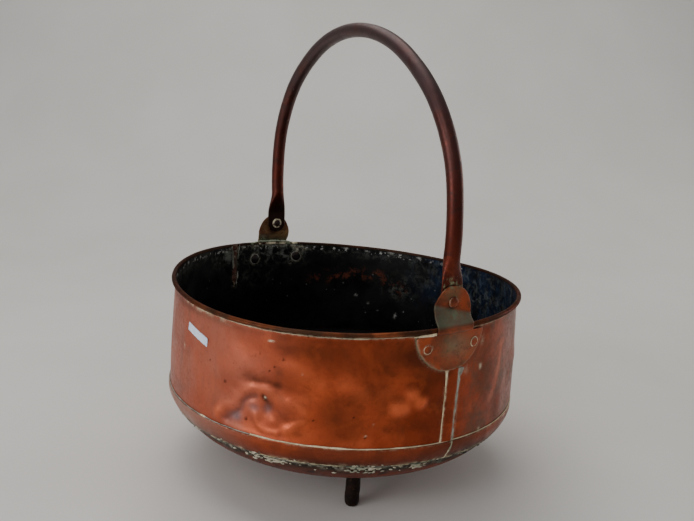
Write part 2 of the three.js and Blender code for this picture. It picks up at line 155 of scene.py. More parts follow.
def lathe(profile, n=96, closed=False):
    """Solid of revolution about Z; profile from axis to axis, or closed ring."""
    t = np.linspace(0, 2 * np.pi, n, endpoint=False)
    pr = np.asarray(profile, float)
    if closed:
        P = np.stack([pr[None, :, 0] * np.cos(t)[:, None], pr[None, :, 0] * np.sin(t)[:, None], np.broadcast_to(pr[None, :, 1], (n, len(pr)))], -1)
        f = grid_faces(n, len(pr), True, True)
        return P.reshape(-1, 3), orient(P, f.tolist())
    body = pr[1:-1]
    P = np.stack([body[None, :, 0] * np.cos(t)[:, None], body[None, :, 0] * np.sin(t)[:, None], np.broadcast_to(body[None, :, 1], (n, len(body)))], -1).reshape(-1, 3)
    m = len(body)
    f = grid_faces(n, m, True, False).tolist()
    P = np.vstack([P, [[0, 0, pr[0, 1]], [0, 0, pr[-1, 1]]]])
    a, b = len(P) - 2, len(P) - 1
    for k in range(n):
        k2 = (k + 1) % n
        f.append([a, k2 * m, k * m])
        f.append([b, k * m + m - 1, k2 * m + m - 1])
    return P, orient(P, f)


def round_profile(pts, r=0.5, n=4, skip_ends=True):
    """Rounds the corners of a polyline by r."""
    pts = [np.array(p, float) for p in pts]
    out = [pts[0]]
    for i in range(1, len(pts) - 1):
        a, b, c = pts[i - 1], pts[i], pts[i + 1]
        la, lc = np.linalg.norm(a - b), np.linalg.norm(c - b)
        ua, uc = (a - b) / la, (c - b) / lc
        if np.dot(ua, uc) < -0.97:
            out.append(b)
            continue
        d = min(r, la * 0.45, lc * 0.45)
        for k in range(n + 1):
            t = k / n
            p = (1 - t) ** 2 * (b + ua * d) + 2 * t * (1 - t) * b + t * t * (b + uc * d)
            out.append(p)
    out.append(pts[-1])
    return np.array(out)


# ------------------------------------------------------------------ the tub's shape
def wear(P):
    """Out-of-round mouth; P is (..., 3) with z from the rim plane. Returns z from the floor."""
    P = np.asarray(P, float)
    x, y, z = P[..., 0], P[..., 1], P[..., 2]
    w = np.where(z <= 0, (1 - np.clip(-z / WALL_H, 0, 1)) ** 1.3, 1 - smooth(4, 15, z))
    t = np.arctan2(y, x)
    c, s = np.cos(2 * t), np.sin(2 * t)
    k = 1 + w * (OVAL_C * c + OVAL_S * s)
    return np.stack([x * k, y * k, z + w * (SADDLE_C * c + SADDLE_S * s) + RIM_Z], -1)


def lift(P):
    return np.asarray(P, float) + np.array([0, 0, RIM_Z])


def wall_out(z):
    return OUT_TOP + (OUT_LOW - OUT_TOP) * np.clip(-np.asarray(z, float) / WALL_H, 0, 1)


def wrap(a):
    return (np.asarray(a, float) + 180.0) % 360.0 - 180.0


def blob(th, z, t0, z0, sx, sz, h, rot=0.0, p=2.0):
    u = np.radians(wrap(th - t0)) * 226
    v = z - z0
    c, s = math.cos(math.radians(rot)), math.sin(math.radians(rot))
    a, b = (u * c + v * s) / sx, (-u * s + v * c) / sz
    return h * np.exp(-((a * a + b * b) ** (p / 2)))


def line_dist(th, z, pts):
    """Distance in mm to a polyline given as (angle, height) points."""
    best = np.full(np.shape(th), 1e9)
    mid = pts[0][0]
    u = np.radians(wrap(th - mid)) * 226
    q = [(math.radians(float(wrap(t - mid))) * 226, zz) for t, zz in pts]
    for (x0, y0), (x1, y1) in zip(q[:-1], q[1:]):
        dx, dy = x1 - x0, y1 - y0
        t = np.clip(((u - x0) * dx + (z - y0) * dy) / (dx * dx + dy * dy), 0, 1)
        best = np.minimum(best, np.hypot(u - x0 - t * dx, z - y0 - t * dy))
    return best


RNG = np.random.default_rng(7)
DINGS = [(float(RNG.uniform(20, 255)), float(RNG.uniform(-125, -20)), float(RNG.uniform(7, 20)), float(RNG.uniform(7, 16)), float(RNG.choice([-1, -1, 1])) * float(RNG.uniform(0.7, 1.9)), float(RNG.uniform(0, 180))) for _ in range(26)]


RIDGE_A = [(292.1, -119.6), (293.7, -110.2), (296.3, -99.6), (299.4, -87.5), (302.8, -80.3), (307.0, -78.2), (309.4, -79.7), (312.2, -85.9), (316.0, -89.8), (318.9, -95.2)]
RIDGE_B = [(304.4, -108.0), (305.4, -113.1), (306.7, -118.5), (308.6, -123.4), (310.8, -126.3)]
RIDGE_C = [(313.7, -120.4), (316.0, -115.1), (318.7, -108.5)]
FOLD = [(305.1, -86.6), (302.6, -90.3), (300.9, -96.9), (299.6, -106.9), (297.5, -116.7), (295.4, -124.2)]
GROOVE = [(302.7, -68.3), (306.9, -66.8), (310.5, -67.4)]


def dents(th, z):
    """Radial displacement of the wall sheet in mm at an angle (deg) and height."""
    th, z = np.broadcast_arrays(np.asarray(th, float), np.asarray(z, float))
    P = np.stack([226 * np.cos(np.radians(th)), 226 * np.sin(np.radians(th)), z], -1)
    tw, zw = th + 1.1 * noise(P, 17, 71) + 0.4 * noise(P, 7, 72), z + 3.2 * noise(P, 15, 73) + 1.2 * noise(P, 7, 74)
    d = 1.0 * noise(P, 80, 3) + 0.55 * noise(P, 38, 5) + 0.16 * noise(P, 16, 9)
    # the folded dent low on the front
    d += blob(th, z, 305, -101, 56, 30, -3.0)
    d += blob(th, z, 291.3, -121.9, 15, 15, 1.5)
    d += -1.7 * np.exp(-(line_dist(tw, zw, FOLD) / 4.6) ** 2)
    d += (1.75 + 0.6 * noise(P, 12, 75)) * np.exp(-(line_dist(tw, zw, RIDGE_A) / 8.4) ** 2)
    d += blob(th, z, 308.4, -98.1, 7.5, 9.5, -1.7)
    d += 1.1 * np.exp(-(line_dist(tw, zw, RIDGE_B) / 4.0) ** 2) + 0.95 * np.exp(-(line_dist(tw, zw, RIDGE_C) / 5.4) ** 2)
    d += blob(th, z, 313.9, -107.6, 9, 8, -1.2) + blob(th, z, 310.1, -113.6, 5, 5, 0.7)
    d += blob(th, z, 307.6, -86.7, 2.8, 3.8, -2.4)
    d += -1.2 * np.exp(-(line_dist(tw, zw, GROOVE) / 9.0) ** 2)
    d += blob(th, z, 327, -92, 26, 34, -1.9)
    d += blob(th, z, 321, -52, 20, 13, 1.3) + blob(th, z, 334, -66, 16, 18, 1.1) + blob(th, z, 298, -50, 26, 18, 1.0)
    d += 0.45 * noise(P, 11, 76) * blob(th, z, 305, -103, 34, 24, 1.0)
    # three hammered bumps beside the near seam
    d += blob(th, z, 345.6, -84.6, 11.5, 11.5, 3.3, 0, 3) + blob(th, z, 348.9, -68.2, 8.2, 8.8, 2.8, 0, 3) + blob(th, z, 351.4, -79.5, 8.6, 9.6, 2.8, 0, 3)
    d += blob(th, z, 339, -60, 18, 40, -1.1)
    # soft upright flutes on the right-hand side
    d += 0.9 * np.sin(np.radians(wrap(th - 8)) * 9) * smooth(6, 16, wrap(th)) * (1 - smooth(40, 70, wrap(th))) * smooth(-130, -70, z)
    d += blob(th, z, 276, -60, 12, 45, -1.2)
    for t0, z0, sx, sz, h, rot in DINGS:
        d += blob(th, z, t0, z0, sx, sz, h, rot)
    w = smooth(-5, -16, z) * smooth(-136, -126, z)
    ears = np.minimum(np.abs(wrap(th)), np.abs(wrap(th - 180)))
    w = w * (1 - 0.93 * (1 - smooth(10.5, 17, ears)) * smooth(-66, -50, z))
    seam = np.minimum(np.abs(wrap(th - SEAM_NEAR)), np.abs(wrap(th - SEAM_FAR)))
    w = w * (0.12 + 0.88 * smooth(2.0, 6.0, seam))
    d = d * (1 - 0.2 * blob(th, z, 304, -102, 42, 26, 1.0))
    return d * w


def corner(t):
    a = np.asarray(t, float) * np.pi / 2
    return np.stack([BASE_OUT - CORNER_W * (1 - np.cos(a) ** (2 / CORNER_P)), -CORNER_TOP - (BASE_H - CORNER_TOP) * np.sin(a) ** (2 / CORNER_P)], -1)


_ct = np.linspace(0, 1, 2001)
_cc = corner(_ct)


def corner_at(z):
    z = np.asarray(z, float)
    return np.where(z >= -CORNER_TOP, BASE_OUT, np.interp(-z, -_cc[:, 1], _cc[:, 0]))


# ------------------------------------------------------------------ materials
class Mat:
    """Small helper for node trees."""

    def __init__(self, name):
        self.m = bpy.data.materials.new(name)
        self.m.use_nodes = True
        self.t = self.m.node_tree
        self.b = self.t.nodes["Principled BSDF"]
        self.co = self.node("ShaderNodeTexCoord").outputs["Object"]

    def node(self, kind, **props):
        n = self.t.nodes.new(kind)
        for k, v in props.items():
            setattr(n, k, v)
        return n

    def put(self, socket, value):
        if isinstance(value, bpy.types.NodeSocket):
            self.t.links.new(value, socket)
        elif isinstance(value, (tuple, list)) and len(value) == 3 and socket.type == "RGBA":
            socket.default_value = (*value, 1)
        else:
            socket.default_value = value

    def noise(self, scale, detail=4.0, rough=0.55, distort=0.0, co=None, stretch=None):
        c = co or self.co
        if stretch:
            m = self.node("ShaderNodeMapping")
            self.put(m.inputs["Vector"], c)
            m.inputs["Scale"].default_value = stretch
            c = m.outputs[0]
        n = self.node("ShaderNodeTexNoise")
        self.put(n.inputs["Vector"], c)
        self.put(n.inputs["Scale"], scale)
        self.put(n.inputs["Detail"], detail)
        self.put(n.inputs["Roughness"], rough)
        self.put(n.inputs["Distortion"], distort)
        return n.outputs[0]

    def voronoi(self, scale, feature="F1", rand=1.0):
        n = self.node("ShaderNodeTexVoronoi", feature=feature)
        self.put(n.inputs["Vector"], self.co)
        self.put(n.inputs["Scale"], scale)
        self.put(n.inputs["Randomness"], rand)
        return n.outputs["Distance"]

    def attr(self, name):
        n = self.node("ShaderNodeAttribute")
        n.attribute_name = name
        return n.outputs["Fac"]

    def math(self, op, a, b=0.0, clamp=False):
        n = self.node("ShaderNodeMath", operation=op, use_clamp=clamp)
        self.put(n.inputs[0], a)
        self.put(n.inputs[1], b)
        return n.outputs[0]

    def step(self, v, lo, hi, a=0.0, b=1.0):
        n = self.node("ShaderNodeMapRange", interpolation_type="SMOOTHSTEP")
        self.put(n.inputs["Value"], v)
        n.inputs["From Min"].default_value = lo
        n.inputs["From Max"].default_value = hi
        n.inputs["To Min"].default_value = a
        n.inputs["To Max"].default_value = b
        return n.outputs[0]

    def mix(self, f, a, b):
        n = self.node("ShaderNodeMix", data_type="RGBA")
        self.put(n.inputs[0], f)
        self.put(n.inputs[6], a)
        self.put(n.inputs[7], b)
        return n.outputs[2]

    def mixf(self, f, a, b):
        n = self.node("ShaderNodeMix", data_type="FLOAT")
        self.put(n.inputs[0], f)
        self.put(n.inputs[2], a)
        self.put(n.inputs[3], b)
        return n.outputs[0]

    def bump(self, h, strength, dist, normal=None):
        n = self.node("ShaderNodeBump")
        self.put(n.inputs["Strength"], strength)
        self.put(n.inputs["Distance"], dist)
        self.put(n.inputs["Height"], h)
        if normal:
            self.put(n.inputs["Normal"], normal)
        return n.outputs[0]

    def z(self):
        n = self.node("ShaderNodeSeparateXYZ")
        self.put(n.inputs[0], self.co)
        return n.outputs[2]

    def out(self, color=None, rough=None, metal=None, normal=None, **direct):
        if color is not None:
            self.put(self.b.inputs["Base Color"], color)
        if rough is not None:
            self.put(self.b.inputs["Roughness"], rough)
        if metal is not None:
            self.put(self.b.inputs["Metallic"], metal)
        if normal is not None:
            self.put(self.b.inputs["Normal"], normal)
        for k, v in direct.items():
            self.b.inputs[k.replace("_", " ")].default_value = v
        return self.m


ORANGE, BRIGHT, BROWN, DARK = (0.31, 0.050, 0.019), (0.45, 0.084, 0.034), (0.130, 0.031, 0.015), (0.035, 0.014, 0.009)
PINK, GREY, CREAM, VERD = (0.50, 0.175, 0.115), (0.145, 0.080, 0.052), (0.72, 0.63, 0.43), (0.20, 0.24, 0.15)


def fine_wear(m, rough0, rough1, bump=0.00012):
    """Scratches, smears and faint pitting that all the old copper has."""
    smear = m.noise(38, 5, 0.6, 0.6)
    fine = m.noise(260, 4, 0.6)
    scr = m.noise(900, 2, 0.5, 0.0, stretch=(0.08, 0.08, 1.0))
    scr2 = m.noise(700, 2, 0.5, 0.0, stretch=(1.0, 0.7, 0.06))
    r = m.mixf(m.step(smear, 0.32, 0.68), rough0, rough1)
    r = m.math("ADD", r, m.step(fine, 0.35, 0.7, -0.04, 0.07))
    r = m.math("ADD", r, m.step(scr, 0.55, 0.75, 0.0, -0.05))
    h = m.math("ADD", m.math("MULTIPLY", fine, 0.8), m.math("MULTIPLY", m.math("ADD", scr, scr2), 0.25))
    n = m.bump(h, 0.35, bump)
    n = m.bump(m.noise(85, 3, 0.5), 0.35, 0.0006, n)
    return r, n, smear, fine


def wall_copper():
    m = Mat("copper_wall")
    r, n, smear, fine = fine_wear(m, 0.30, 0.44)
    big = m.noise(9, 4, 0.55, 0.8)
    mid = m.noise(24, 5, 0.6, 0.4)
    c = m.mix(m.step(big, 0.38, 0.62), ORANGE, BRIGHT)
    c = m.mix(m.math("MULTIPLY", m.step(mid, 0.48, 0.68), 0.6), c, BROWN)
    c = m.mix(m.math("MULTIPLY", m.step(m.noise(62, 5, 0.65, 0.3), 0.5, 0.68), 0.25), c, BROWN)
    c = m.mix(m.math("MULTIPLY", m.step(m.noise(17, 4, 0.6, 0.9), 0.54, 0.66), 0.5), c, (0.60, 0.115, 0.040))
    # lighter copper on the dent ridges and the three bumps: partly polished high spots, partly painted highlight
    c = m.mix(m.math("MULTIPLY", m.attr("a_polish_and_highlight"), m.step(mid, 0.2, 0.6, 1.0, 0.6), True), c, (0.80, 0.175, 0.070))
    # pinkish haze: partly dust, partly a painted reflection of the light from the left
    c = m.mix(m.math("MULTIPLY", m.attr("a_pink_haze_and_reflection"), m.step(mid, 0.25, 0.7, 0.55, 1.0)), c, PINK)
    runs = m.step(m.noise(60, 5, 0.7, 0.3, stretch=(1.0, 1.0, 0.16)), 0.50, 0.70)
    c = m.mix(m.math("MULTIPLY", m.math("MULTIPLY", runs, m.attr("a_pink_haze_and_reflection")), 0.55), c, (0.27, 0.105, 0.075))
    c = m.mix(m.math("MULTIPLY", m.attr("a_dark"), m.step(mid, 0.2, 0.62, 0.45, 1.0), True), c, BROWN)
    # smudges, and painted shade in the dent's hollows
    c = m.mix(m.math("MULTIPLY", m.attr("a_smut_and_shade"), m.step(smear, 0.2, 0.6, 0.5, 1.0), True), c, DARK)
    c = m.mix(m.math("MULTIPLY", m.attr("a_grey"), m.step(smear, 0.35, 0.68), True), c, GREY)
    # painted purple shade in the dent's hollows
    c = m.mix(m.math("MULTIPLY", m.attr("a_hollow_shade"), m.step(mid, 0.2, 0.6, 0.6, 1.0), True), c, (0.25, 0.135, 0.130))
    # polish and verdigris left beside the joints
    res = m.math("MULTIPLY", m.attr("a_res"), m.step(m.noise(110, 5, 0.7), 0.38, 0.62), True)
    c = m.mix(res, c, m.mix(m.step(m.noise(45, 3), 0.5, 0.62), CREAM, VERD))
    # pinholes and spots of tarnish, with painted shade in the pit of the fold
    spots = m.step(m.voronoi(55), 0.10, 0.045)
    pick = m.step(m.noise(21, 2), 0.56, 0.60)
    sp = m.math("MULTIPLY", spots, pick)
    c = m.mix(m.math("MULTIPLY", sp, 0.75), c, DARK)
    c = m.mix(m.math("MULTIPLY", m.step(fine, 0.55, 0.75), 0.22), c, BROWN)
    hit = m.attr("a_spot")
    c = m.mix(hit, c, (0.055, 0.016, 0.010))
    pale = m.math("MULTIPLY", m.attr("a_pale"), m.step(m.noise(190, 5, 0.75), 0.40, 0.56, 0.1, 1.0), True)
    c = m.mix(pale, c, CREAM)
    r = m.math("ADD", r, m.math("MULTIPLY", m.attr("a_pink_haze_and_reflection"), 0.10))
    r = m.math("ADD", r, m.math("MULTIPLY", m.attr("a_dark"), 0.05))
    r = m.mixf(res, r, 0.75)
    metal = m.mixf(m.math("MAXIMUM", res, pale), 1.0, 0.0)
    return m.out(c, r, metal, n)


def bead_copper():
    m = Mat("copper_bead")
    r, n, smear, fine = fine_wear(m, 0.36, 0.55)
    a = m.noise(30, 5, 0.6, 0.5)
    c = m.mix(m.step(a, 0.4, 0.62), (0.056, 0.026, 0.015), (0.115, 0.034, 0.015))
    c = m.mix(m.math("MULTIPLY", m.step(m.noise(70, 4, 0.6), 0.5, 0.7), 0.6), c, DARK)
    wornc = m.math("MULTIPLY", m.step(m.noise(14, 3, 0.6), 0.60, 0.70), m.attr("a_worn"))
    c = m.mix(m.math("MULTIPLY", wornc, 0.7), c, (0.48, 0.13, 0.05))
    c = m.mix(m.math("MULTIPLY", m.attr("a_dim"), 0.8), c, (0.020, 0.013, 0.010))
    res = m.math("MULTIPLY", m.attr("a_res"), m.step(m.noise(120, 5, 0.7), 0.40, 0.6), True)
    c = m.mix(res, c, m.mix(m.step(m.noise(45, 3), 0.48, 0.6), CREAM, VERD))
    return m.out(c, m.mixf(res, r, 0.8), m.mixf(res, 0.6, 0.0), n, Specular_IOR_Level=0.15, Specular_Tint=(0.55, 0.33, 0.22, 1.0))


def inside_copper():
    """Sooty, scaled inside: near black with lime flecks and rust-red patches."""
    m = Mat("sooty_inside")
    a = m.noise(26, 6, 0.65, 0.7)
    b = m.noise(140, 5, 0.7)
    c = m.mix(m.step(a, 0.35, 0.7), (0.0030, 0.0029, 0.0034), (0.0085, 0.0068, 0.0062))
    # painted reflection: a bluish sheen on the inside wall where the light from the left would reflect
    blue_reflection = m.math("MULTIPLY", m.attr("a_blue_reflection"), m.step(m.noise(34, 6, 0.7, 0.5), 0.36, 0.66), True)
    c = m.mix(blue_reflection, c, (0.010, 0.021, 0.050))
    rust = m.math("MULTIPLY", m.attr("a_rust"), m.step(m.noise(70, 6, 0.75, 0.3), 0.50, 0.64), True)
    c = m.mix(rust, c, (0.10, 0.024, 0.011))
    lime = m.math("MULTIPLY", m.attr("a_lime"), m.step(m.noise(75, 6, 0.75, 0.4), 0.46, 0.64), True)
    c = m.mix(m.math("MULTIPLY", lime, 0.85), c, (0.17, 0.18, 0.15))
    fleck = m.math("MULTIPLY", m.step(m.voronoi(120), 0.20, 0.10), m.step(m.noise(33, 3), 0.56, 0.64))
    fl = m.math("MULTIPLY", fleck, m.attr("a_fleck"), True)
    fl2 = m.math("MULTIPLY", m.step(m.noise(170, 3, 0.6), 0.57, 0.63), m.step(m.attr("a_fleck"), 0.7, 1.4))
    fl = m.math("MAXIMUM", m.math("MAXIMUM", fl, fl2), m.math("MULTIPLY", m.attr("a_white"), m.step(m.noise(230, 5, 0.75), 0.42, 0.52)))
    c = m.mix(fl, c, (0.42, 0.41, 0.38))
    crust = m.math("MULTIPLY", m.attr("a_crust"), m.step(m.noise(160, 5, 0.7), 0.4, 0.6), True)
    c = m.mix(crust, c, m.mix(m.step(m.noise(240, 4, 0.6), 0.42, 0.6), (0.40, 0.38, 0.29), (0.13, 0.11, 0.07)))
    # light-blue painted reflection streaks inside the bluish sheen
    painted_sheen_streak = m.math("MULTIPLY", m.step(m.noise(85, 6, 0.7, 0.2, stretch=(1.0, 1.0, 0.22)), 0.54, 0.68), m.attr("a_blue_reflection"), True)
    c = m.mix(m.math("MULTIPLY", painted_sheen_streak, 0.5), c, (0.085, 0.120, 0.175))
    mask = m.math("MAXIMUM", m.math("MAXIMUM", lime, fl), m.math("MAXIMUM", rust, crust))
    n = m.bump(b, 0.6, 0.0005)
    n = m.bump(a, 0.5, 0.0015, n)
    rough = m.mixf(mask, m.mixf(m.step(a, 0.35, 0.65), 0.42, 0.68), 0.9)
    return m.out(c, rough, m.mixf(mask, 0.35, 0.0), n, Specular_IOR_Level=0.25)


def band_copper():
    m = Mat("copper_band")
    r, n, smear, fine = fine_wear(m, 0.34, 0.5)
    mid = m.noise(20, 5, 0.6, 0.6)
    c = m.mix(m.step(mid, 0.35, 0.65), (0.38, 0.077, 0.033), (0.235, 0.054, 0.026))
    c = m.mix(m.math("MULTIPLY", m.attr("a_pink_haze_and_reflection"), 0.9), c, (0.42, 0.21, 0.16))
    c = m.mix(m.math("MULTIPLY", m.attr("a_dark"), m.step(smear, 0.25, 0.6, 0.5, 1.0), True), c, (0.07, 0.035, 0.024))
    res = m.math("MULTIPLY", m.attr("a_res"), m.step(m.noise(95, 6, 0.72), 0.42, 0.6), True)
    c = m.mix(res, c, m.mix(m.step(m.noise(50, 3), 0.47, 0.6), CREAM, VERD))
    return m.out(c, m.mixf(res, r, 0.8), m.mixf(res, 1.0, 0.0), n)


def pan_copper():
    m = Mat("copper_pan")
    a = m.noise(24, 6, 0.65, 0.6)
    c = m.mix(m.step(a, 0.35, 0.65), (0.16, 0.046, 0.027), (0.26, 0.066, 0.035))
    c = m.mix(m.math("MULTIPLY", m.step(m.noise(60, 5, 0.7), 0.5, 0.68), 0.8), c, (0.02, 0.015, 0.013))
    # darker just below the band
    c = m.mix(m.math("MULTIPLY", m.attr("a_darker_below_band"), m.step(m.noise(50, 5, 0.65), 0.3, 0.55, 0.5, 1.0), True), c, (0.030, 0.023, 0.017))
    res = m.math("MULTIPLY", m.attr("a_res"), m.step(m.noise(100, 6, 0.72), 0.49, 0.60), True)
    c = m.mix(res, c, m.mix(m.step(m.noise(150, 4, 0.6), 0.42, 0.60), (0.50, 0.46, 0.35), (0.13, 0.12, 0.085)))
    n = m.bump(m.noise(130, 5, 0.7), 0.6, 0.0006)
    n = m.bump(a, 0.4, 0.002, n)
    return m.out(c, m.mixf(res, m.mixf(m.step(a, 0.3, 0.7), 0.45, 0.65), 0.85), m.mixf(res, 0.85, 0.0), n)


def ear_copper():
    m = Mat("copper_ear")
    r, n, smear, fine = fine_wear(m, 0.36, 0.52, 0.0002)
    mid = m.noise(30, 5, 0.6, 0.5)
    c = m.mix(m.step(mid, 0.38, 0.64), (0.42, 0.085, 0.033), (0.22, 0.060, 0.030))
    c = m.mix(m.math("MULTIPLY", m.step(m.noise(80, 4, 0.65), 0.52, 0.66), 0.45), c, (0.12, 0.066, 0.034))
    g = m.math("MULTIPLY", m.attr("a_grey"), m.step(smear, 0.28, 0.6, 0.55, 1.0), True)
    c = m.mix(g, c, m.mix(m.step(m.noise(48, 4), 0.42, 0.6), (0.20, 0.168, 0.115), (0.165, 0.185, 0.115)))
    c = m.mix(m.math("MULTIPLY", m.attr("a_dark"), m.step(mid, 0.25, 0.6, 0.55, 1.0), True), c, (0.03, 0.018, 0.012))
    v = m.math("MULTIPLY", m.attr("a_verd"), m.step(m.noise(150, 5, 0.7), 0.45, 0.6), True)
    c = m.mix(v, c, (0.15, 0.22, 0.13))
    res = m.math("MULTIPLY", m.attr("a_res"), m.step(m.noise(130, 6, 0.72), 0.40, 0.58), True)
    c = m.mix(res, c, CREAM)
    mask = m.math("MAXIMUM", v, res)
    olive = m.attr("a_olive")
    c = m.mix(m.math("MULTIPLY", olive, m.step(mid, 0.25, 0.55, 0.6, 1.0), True), c, m.mix(m.step(m.noise(110, 5, 0.7), 0.45, 0.62), (0.28, 0.160, 0.062), (0.080, 0.048, 0.023)))
    rr = m.math("ADD", r, m.math("MULTIPLY", g, 0.1))
    return m.out(c, m.mixf(mask, rr, 0.85), m.mixf(m.math("MAXIMUM", mask, olive), m.mixf(g, 0.9, 0.6), 0.0), n)


def bail_copper():
    """Old dark patina, more like lacquer than bare metal."""
    m = Mat("copper_bail")
    r, n, smear, fine = fine_wear(m, 0.34, 0.50, 0.00016)
    big = m.noise(14, 4, 0.6, 0.7)
    c = m.mix(m.step(big, 0.36, 0.64), (0.108, 0.0140, 0.0045), (0.068, 0.0100, 0.0050))
    c = m.mix(m.math("MULTIPLY", m.step(m.noise(44, 5, 0.65), 0.52, 0.68), 0.7), c, (0.19, 0.034, 0.012))
    c = m.mix(m.math("MULTIPLY", m.step(m.noise(75, 5, 0.7), 0.54, 0.70), 0.8), c, (0.026, 0.012, 0.010))
    # painted reflection: greyer, hazier tone on the upper bail standing in for sky light
    c = m.mix(m.math("MULTIPLY", m.attr("a_painted_sky_reflection"), m.step(smear, 0.2, 0.6, 0.5, 1.0), True), c, (0.072, 0.044, 0.043))
    c = m.mix(m.math("MULTIPLY", m.attr("a_dark"), m.step(smear, 0.2, 0.55, 0.6, 1.0), True), c, (0.030, 0.012, 0.007))
    chip = m.math("MULTIPLY", m.step(m.voronoi(170), 0.15, 0.08), m.step(m.noise(40, 3), 0.60, 0.66))
    c = m.mix(chip, c, (0.40, 0.33, 0.26))
    res = m.math("MULTIPLY", m.attr("a_res"), m.step(m.noise(170, 5, 0.7), 0.45, 0.6), True)
    c = m.mix(res, c, (0.24, 0.25, 0.13))
    k = m.math("MAXIMUM", chip, res)
    return m.out(c, m.mixf(k, r, 0.8), m.mixf(k, 0.7, 0.0), n, Specular_IOR_Level=0.25, Coat_Weight=0.13, Coat_Roughness=0.38)


def rivet_copper():
    m = Mat("copper_rivet")
    r, n, smear, fine = fine_wear(m, 0.38, 0.55, 0.0002)
    a = m.noise(120, 5, 0.65)
    c = m.mix(m.step(a, 0.35, 0.65), (0.26, 0.075, 0.035), (0.11, 0.045, 0.028))
    d = m.math("MULTIPLY", m.attr("a_dark"), m.step(fine, 0.2, 0.6, 0.7, 1.0), True)
    c = m.mix(d, c, (0.012, 0.010, 0.009))
    res = m.math("MULTIPLY", m.attr("a_res"), m.step(m.noise(300, 5, 0.7), 0.38, 0.6), True)
    c = m.mix(res, c, CREAM)
    return m.out(c, m.mixf(res, r, 0.85), m.mixf(res, m.mixf(d, 1.0, 0.5), 0.0), n)


def residue(name="polish_residue", c0=CREAM, c1=(0.30, 0.27, 0.18), c2=VERD, lo=0.36, hi=0.58):
    """Pale solder and dried polish standing in the joints."""
    m = Mat(name)
    a = m.noise(90, 6, 0.7)
    b = m.noise(320, 5, 0.7)
    c = m.mix(m.step(a, lo, hi), c1, c0)
    c = m.mix(m.math("MULTIPLY", m.step(m.noise(38, 4), 0.52, 0.64), 0.7), c, c2)
    c = m.mix(m.math("MULTIPLY", m.step(b, 0.55, 0.7), 0.6), c, (0.10, 0.06, 0.04))
    n = m.bump(b, 0.8, 0.0006)
    return m.out(c, m.step(b, 0.3, 0.7, 0.6, 0.9), 0.0, n)


def iron(name="black_iron"):
    m = Mat(name)
    a = m.noise(60, 6, 0.65, 0.4)
    b = m.noise(420, 4, 0.6)
    c = m.mix(m.step(a, 0.38, 0.66), (0.010, 0.007, 0.006), (0.032, 0.015, 0.010))
    c = m.mix(m.math("MULTIPLY", m.step(m.noise(160, 4), 0.58, 0.7), 0.5), c, (0.12, 0.05, 0.02))
    n = m.bump(b, 0.6, 0.0004)
    n = m.bump(a, 0.5, 0.0012, n)
    return m.out(c, m.step(a, 0.3, 0.7, 0.42, 0.72), 0.8, n)


def paper():
    m = Mat("label_paper")
    a = m.noise(350, 5, 0.6)
    c = m.mix(m.step(m.noise(60, 4), 0.35, 0.65), (0.66, 0.76, 0.93), (0.78, 0.84, 0.95))
    c = m.mix(m.math("MULTIPLY", m.attr("a_edge"), m.step(m.noise(200, 4), 0.4, 0.6), True), c, (0.36, 0.34, 0.31))
    return m.out(c, 0.78, 0.0, m.bump(a, 0.4, 0.0002))


M_WALL, M_BEAD, M_IN, M_BAND, M_PAN = wall_copper(), bead_copper(), inside_copper(), band_copper(), pan_copper()
M_EAR, M_BAIL, M_RIVET, M_RES, M_IRON, M_PAPER = ear_copper(), bail_copper(), rivet_copper(), residue(), iron(), paper()
M_CRUST = residue("lower_crust", (0.16, 0.15, 0.115), (0.045, 0.036, 0.026), (0.055, 0.075, 0.05))
M_EDGE = residue("ear_edge", (0.44, 0.38, 0.24), (0.20, 0.16, 0.085), (0.12, 0.14, 0.075))
M_FLAKE = residue("pale_flakes", (0.62, 0.57, 0.44), (0.40, 0.36, 0.26), (0.24, 0.26, 0.18))
M_GREY = residue("grey_solder", (0.45, 0.44, 0.37), (0.26, 0.24, 0.19), (0.22, 0.26, 0.22))
M_SCALE = residue("rivet_scale", (0.36, 0.35, 0.29), (0.13, 0.12, 0.09), (0.10, 0.12, 0.085))
M_VERDI = residue("verdigris", (0.56, 0.60, 0.45), (0.34, 0.38, 0.25), (0.22, 0.30, 0.18))
M_RUST = residue("seam_scale", (0.30, 0.25, 0.16), (0.085, 0.024, 0.012), (0.035, 0.024, 0.014), 0.50, 0.62)
M_RING = residue("dried_polish", (0.82, 0.68, 0.44), (0.60, 0.46, 0.27), (0.50, 0.42, 0.26))


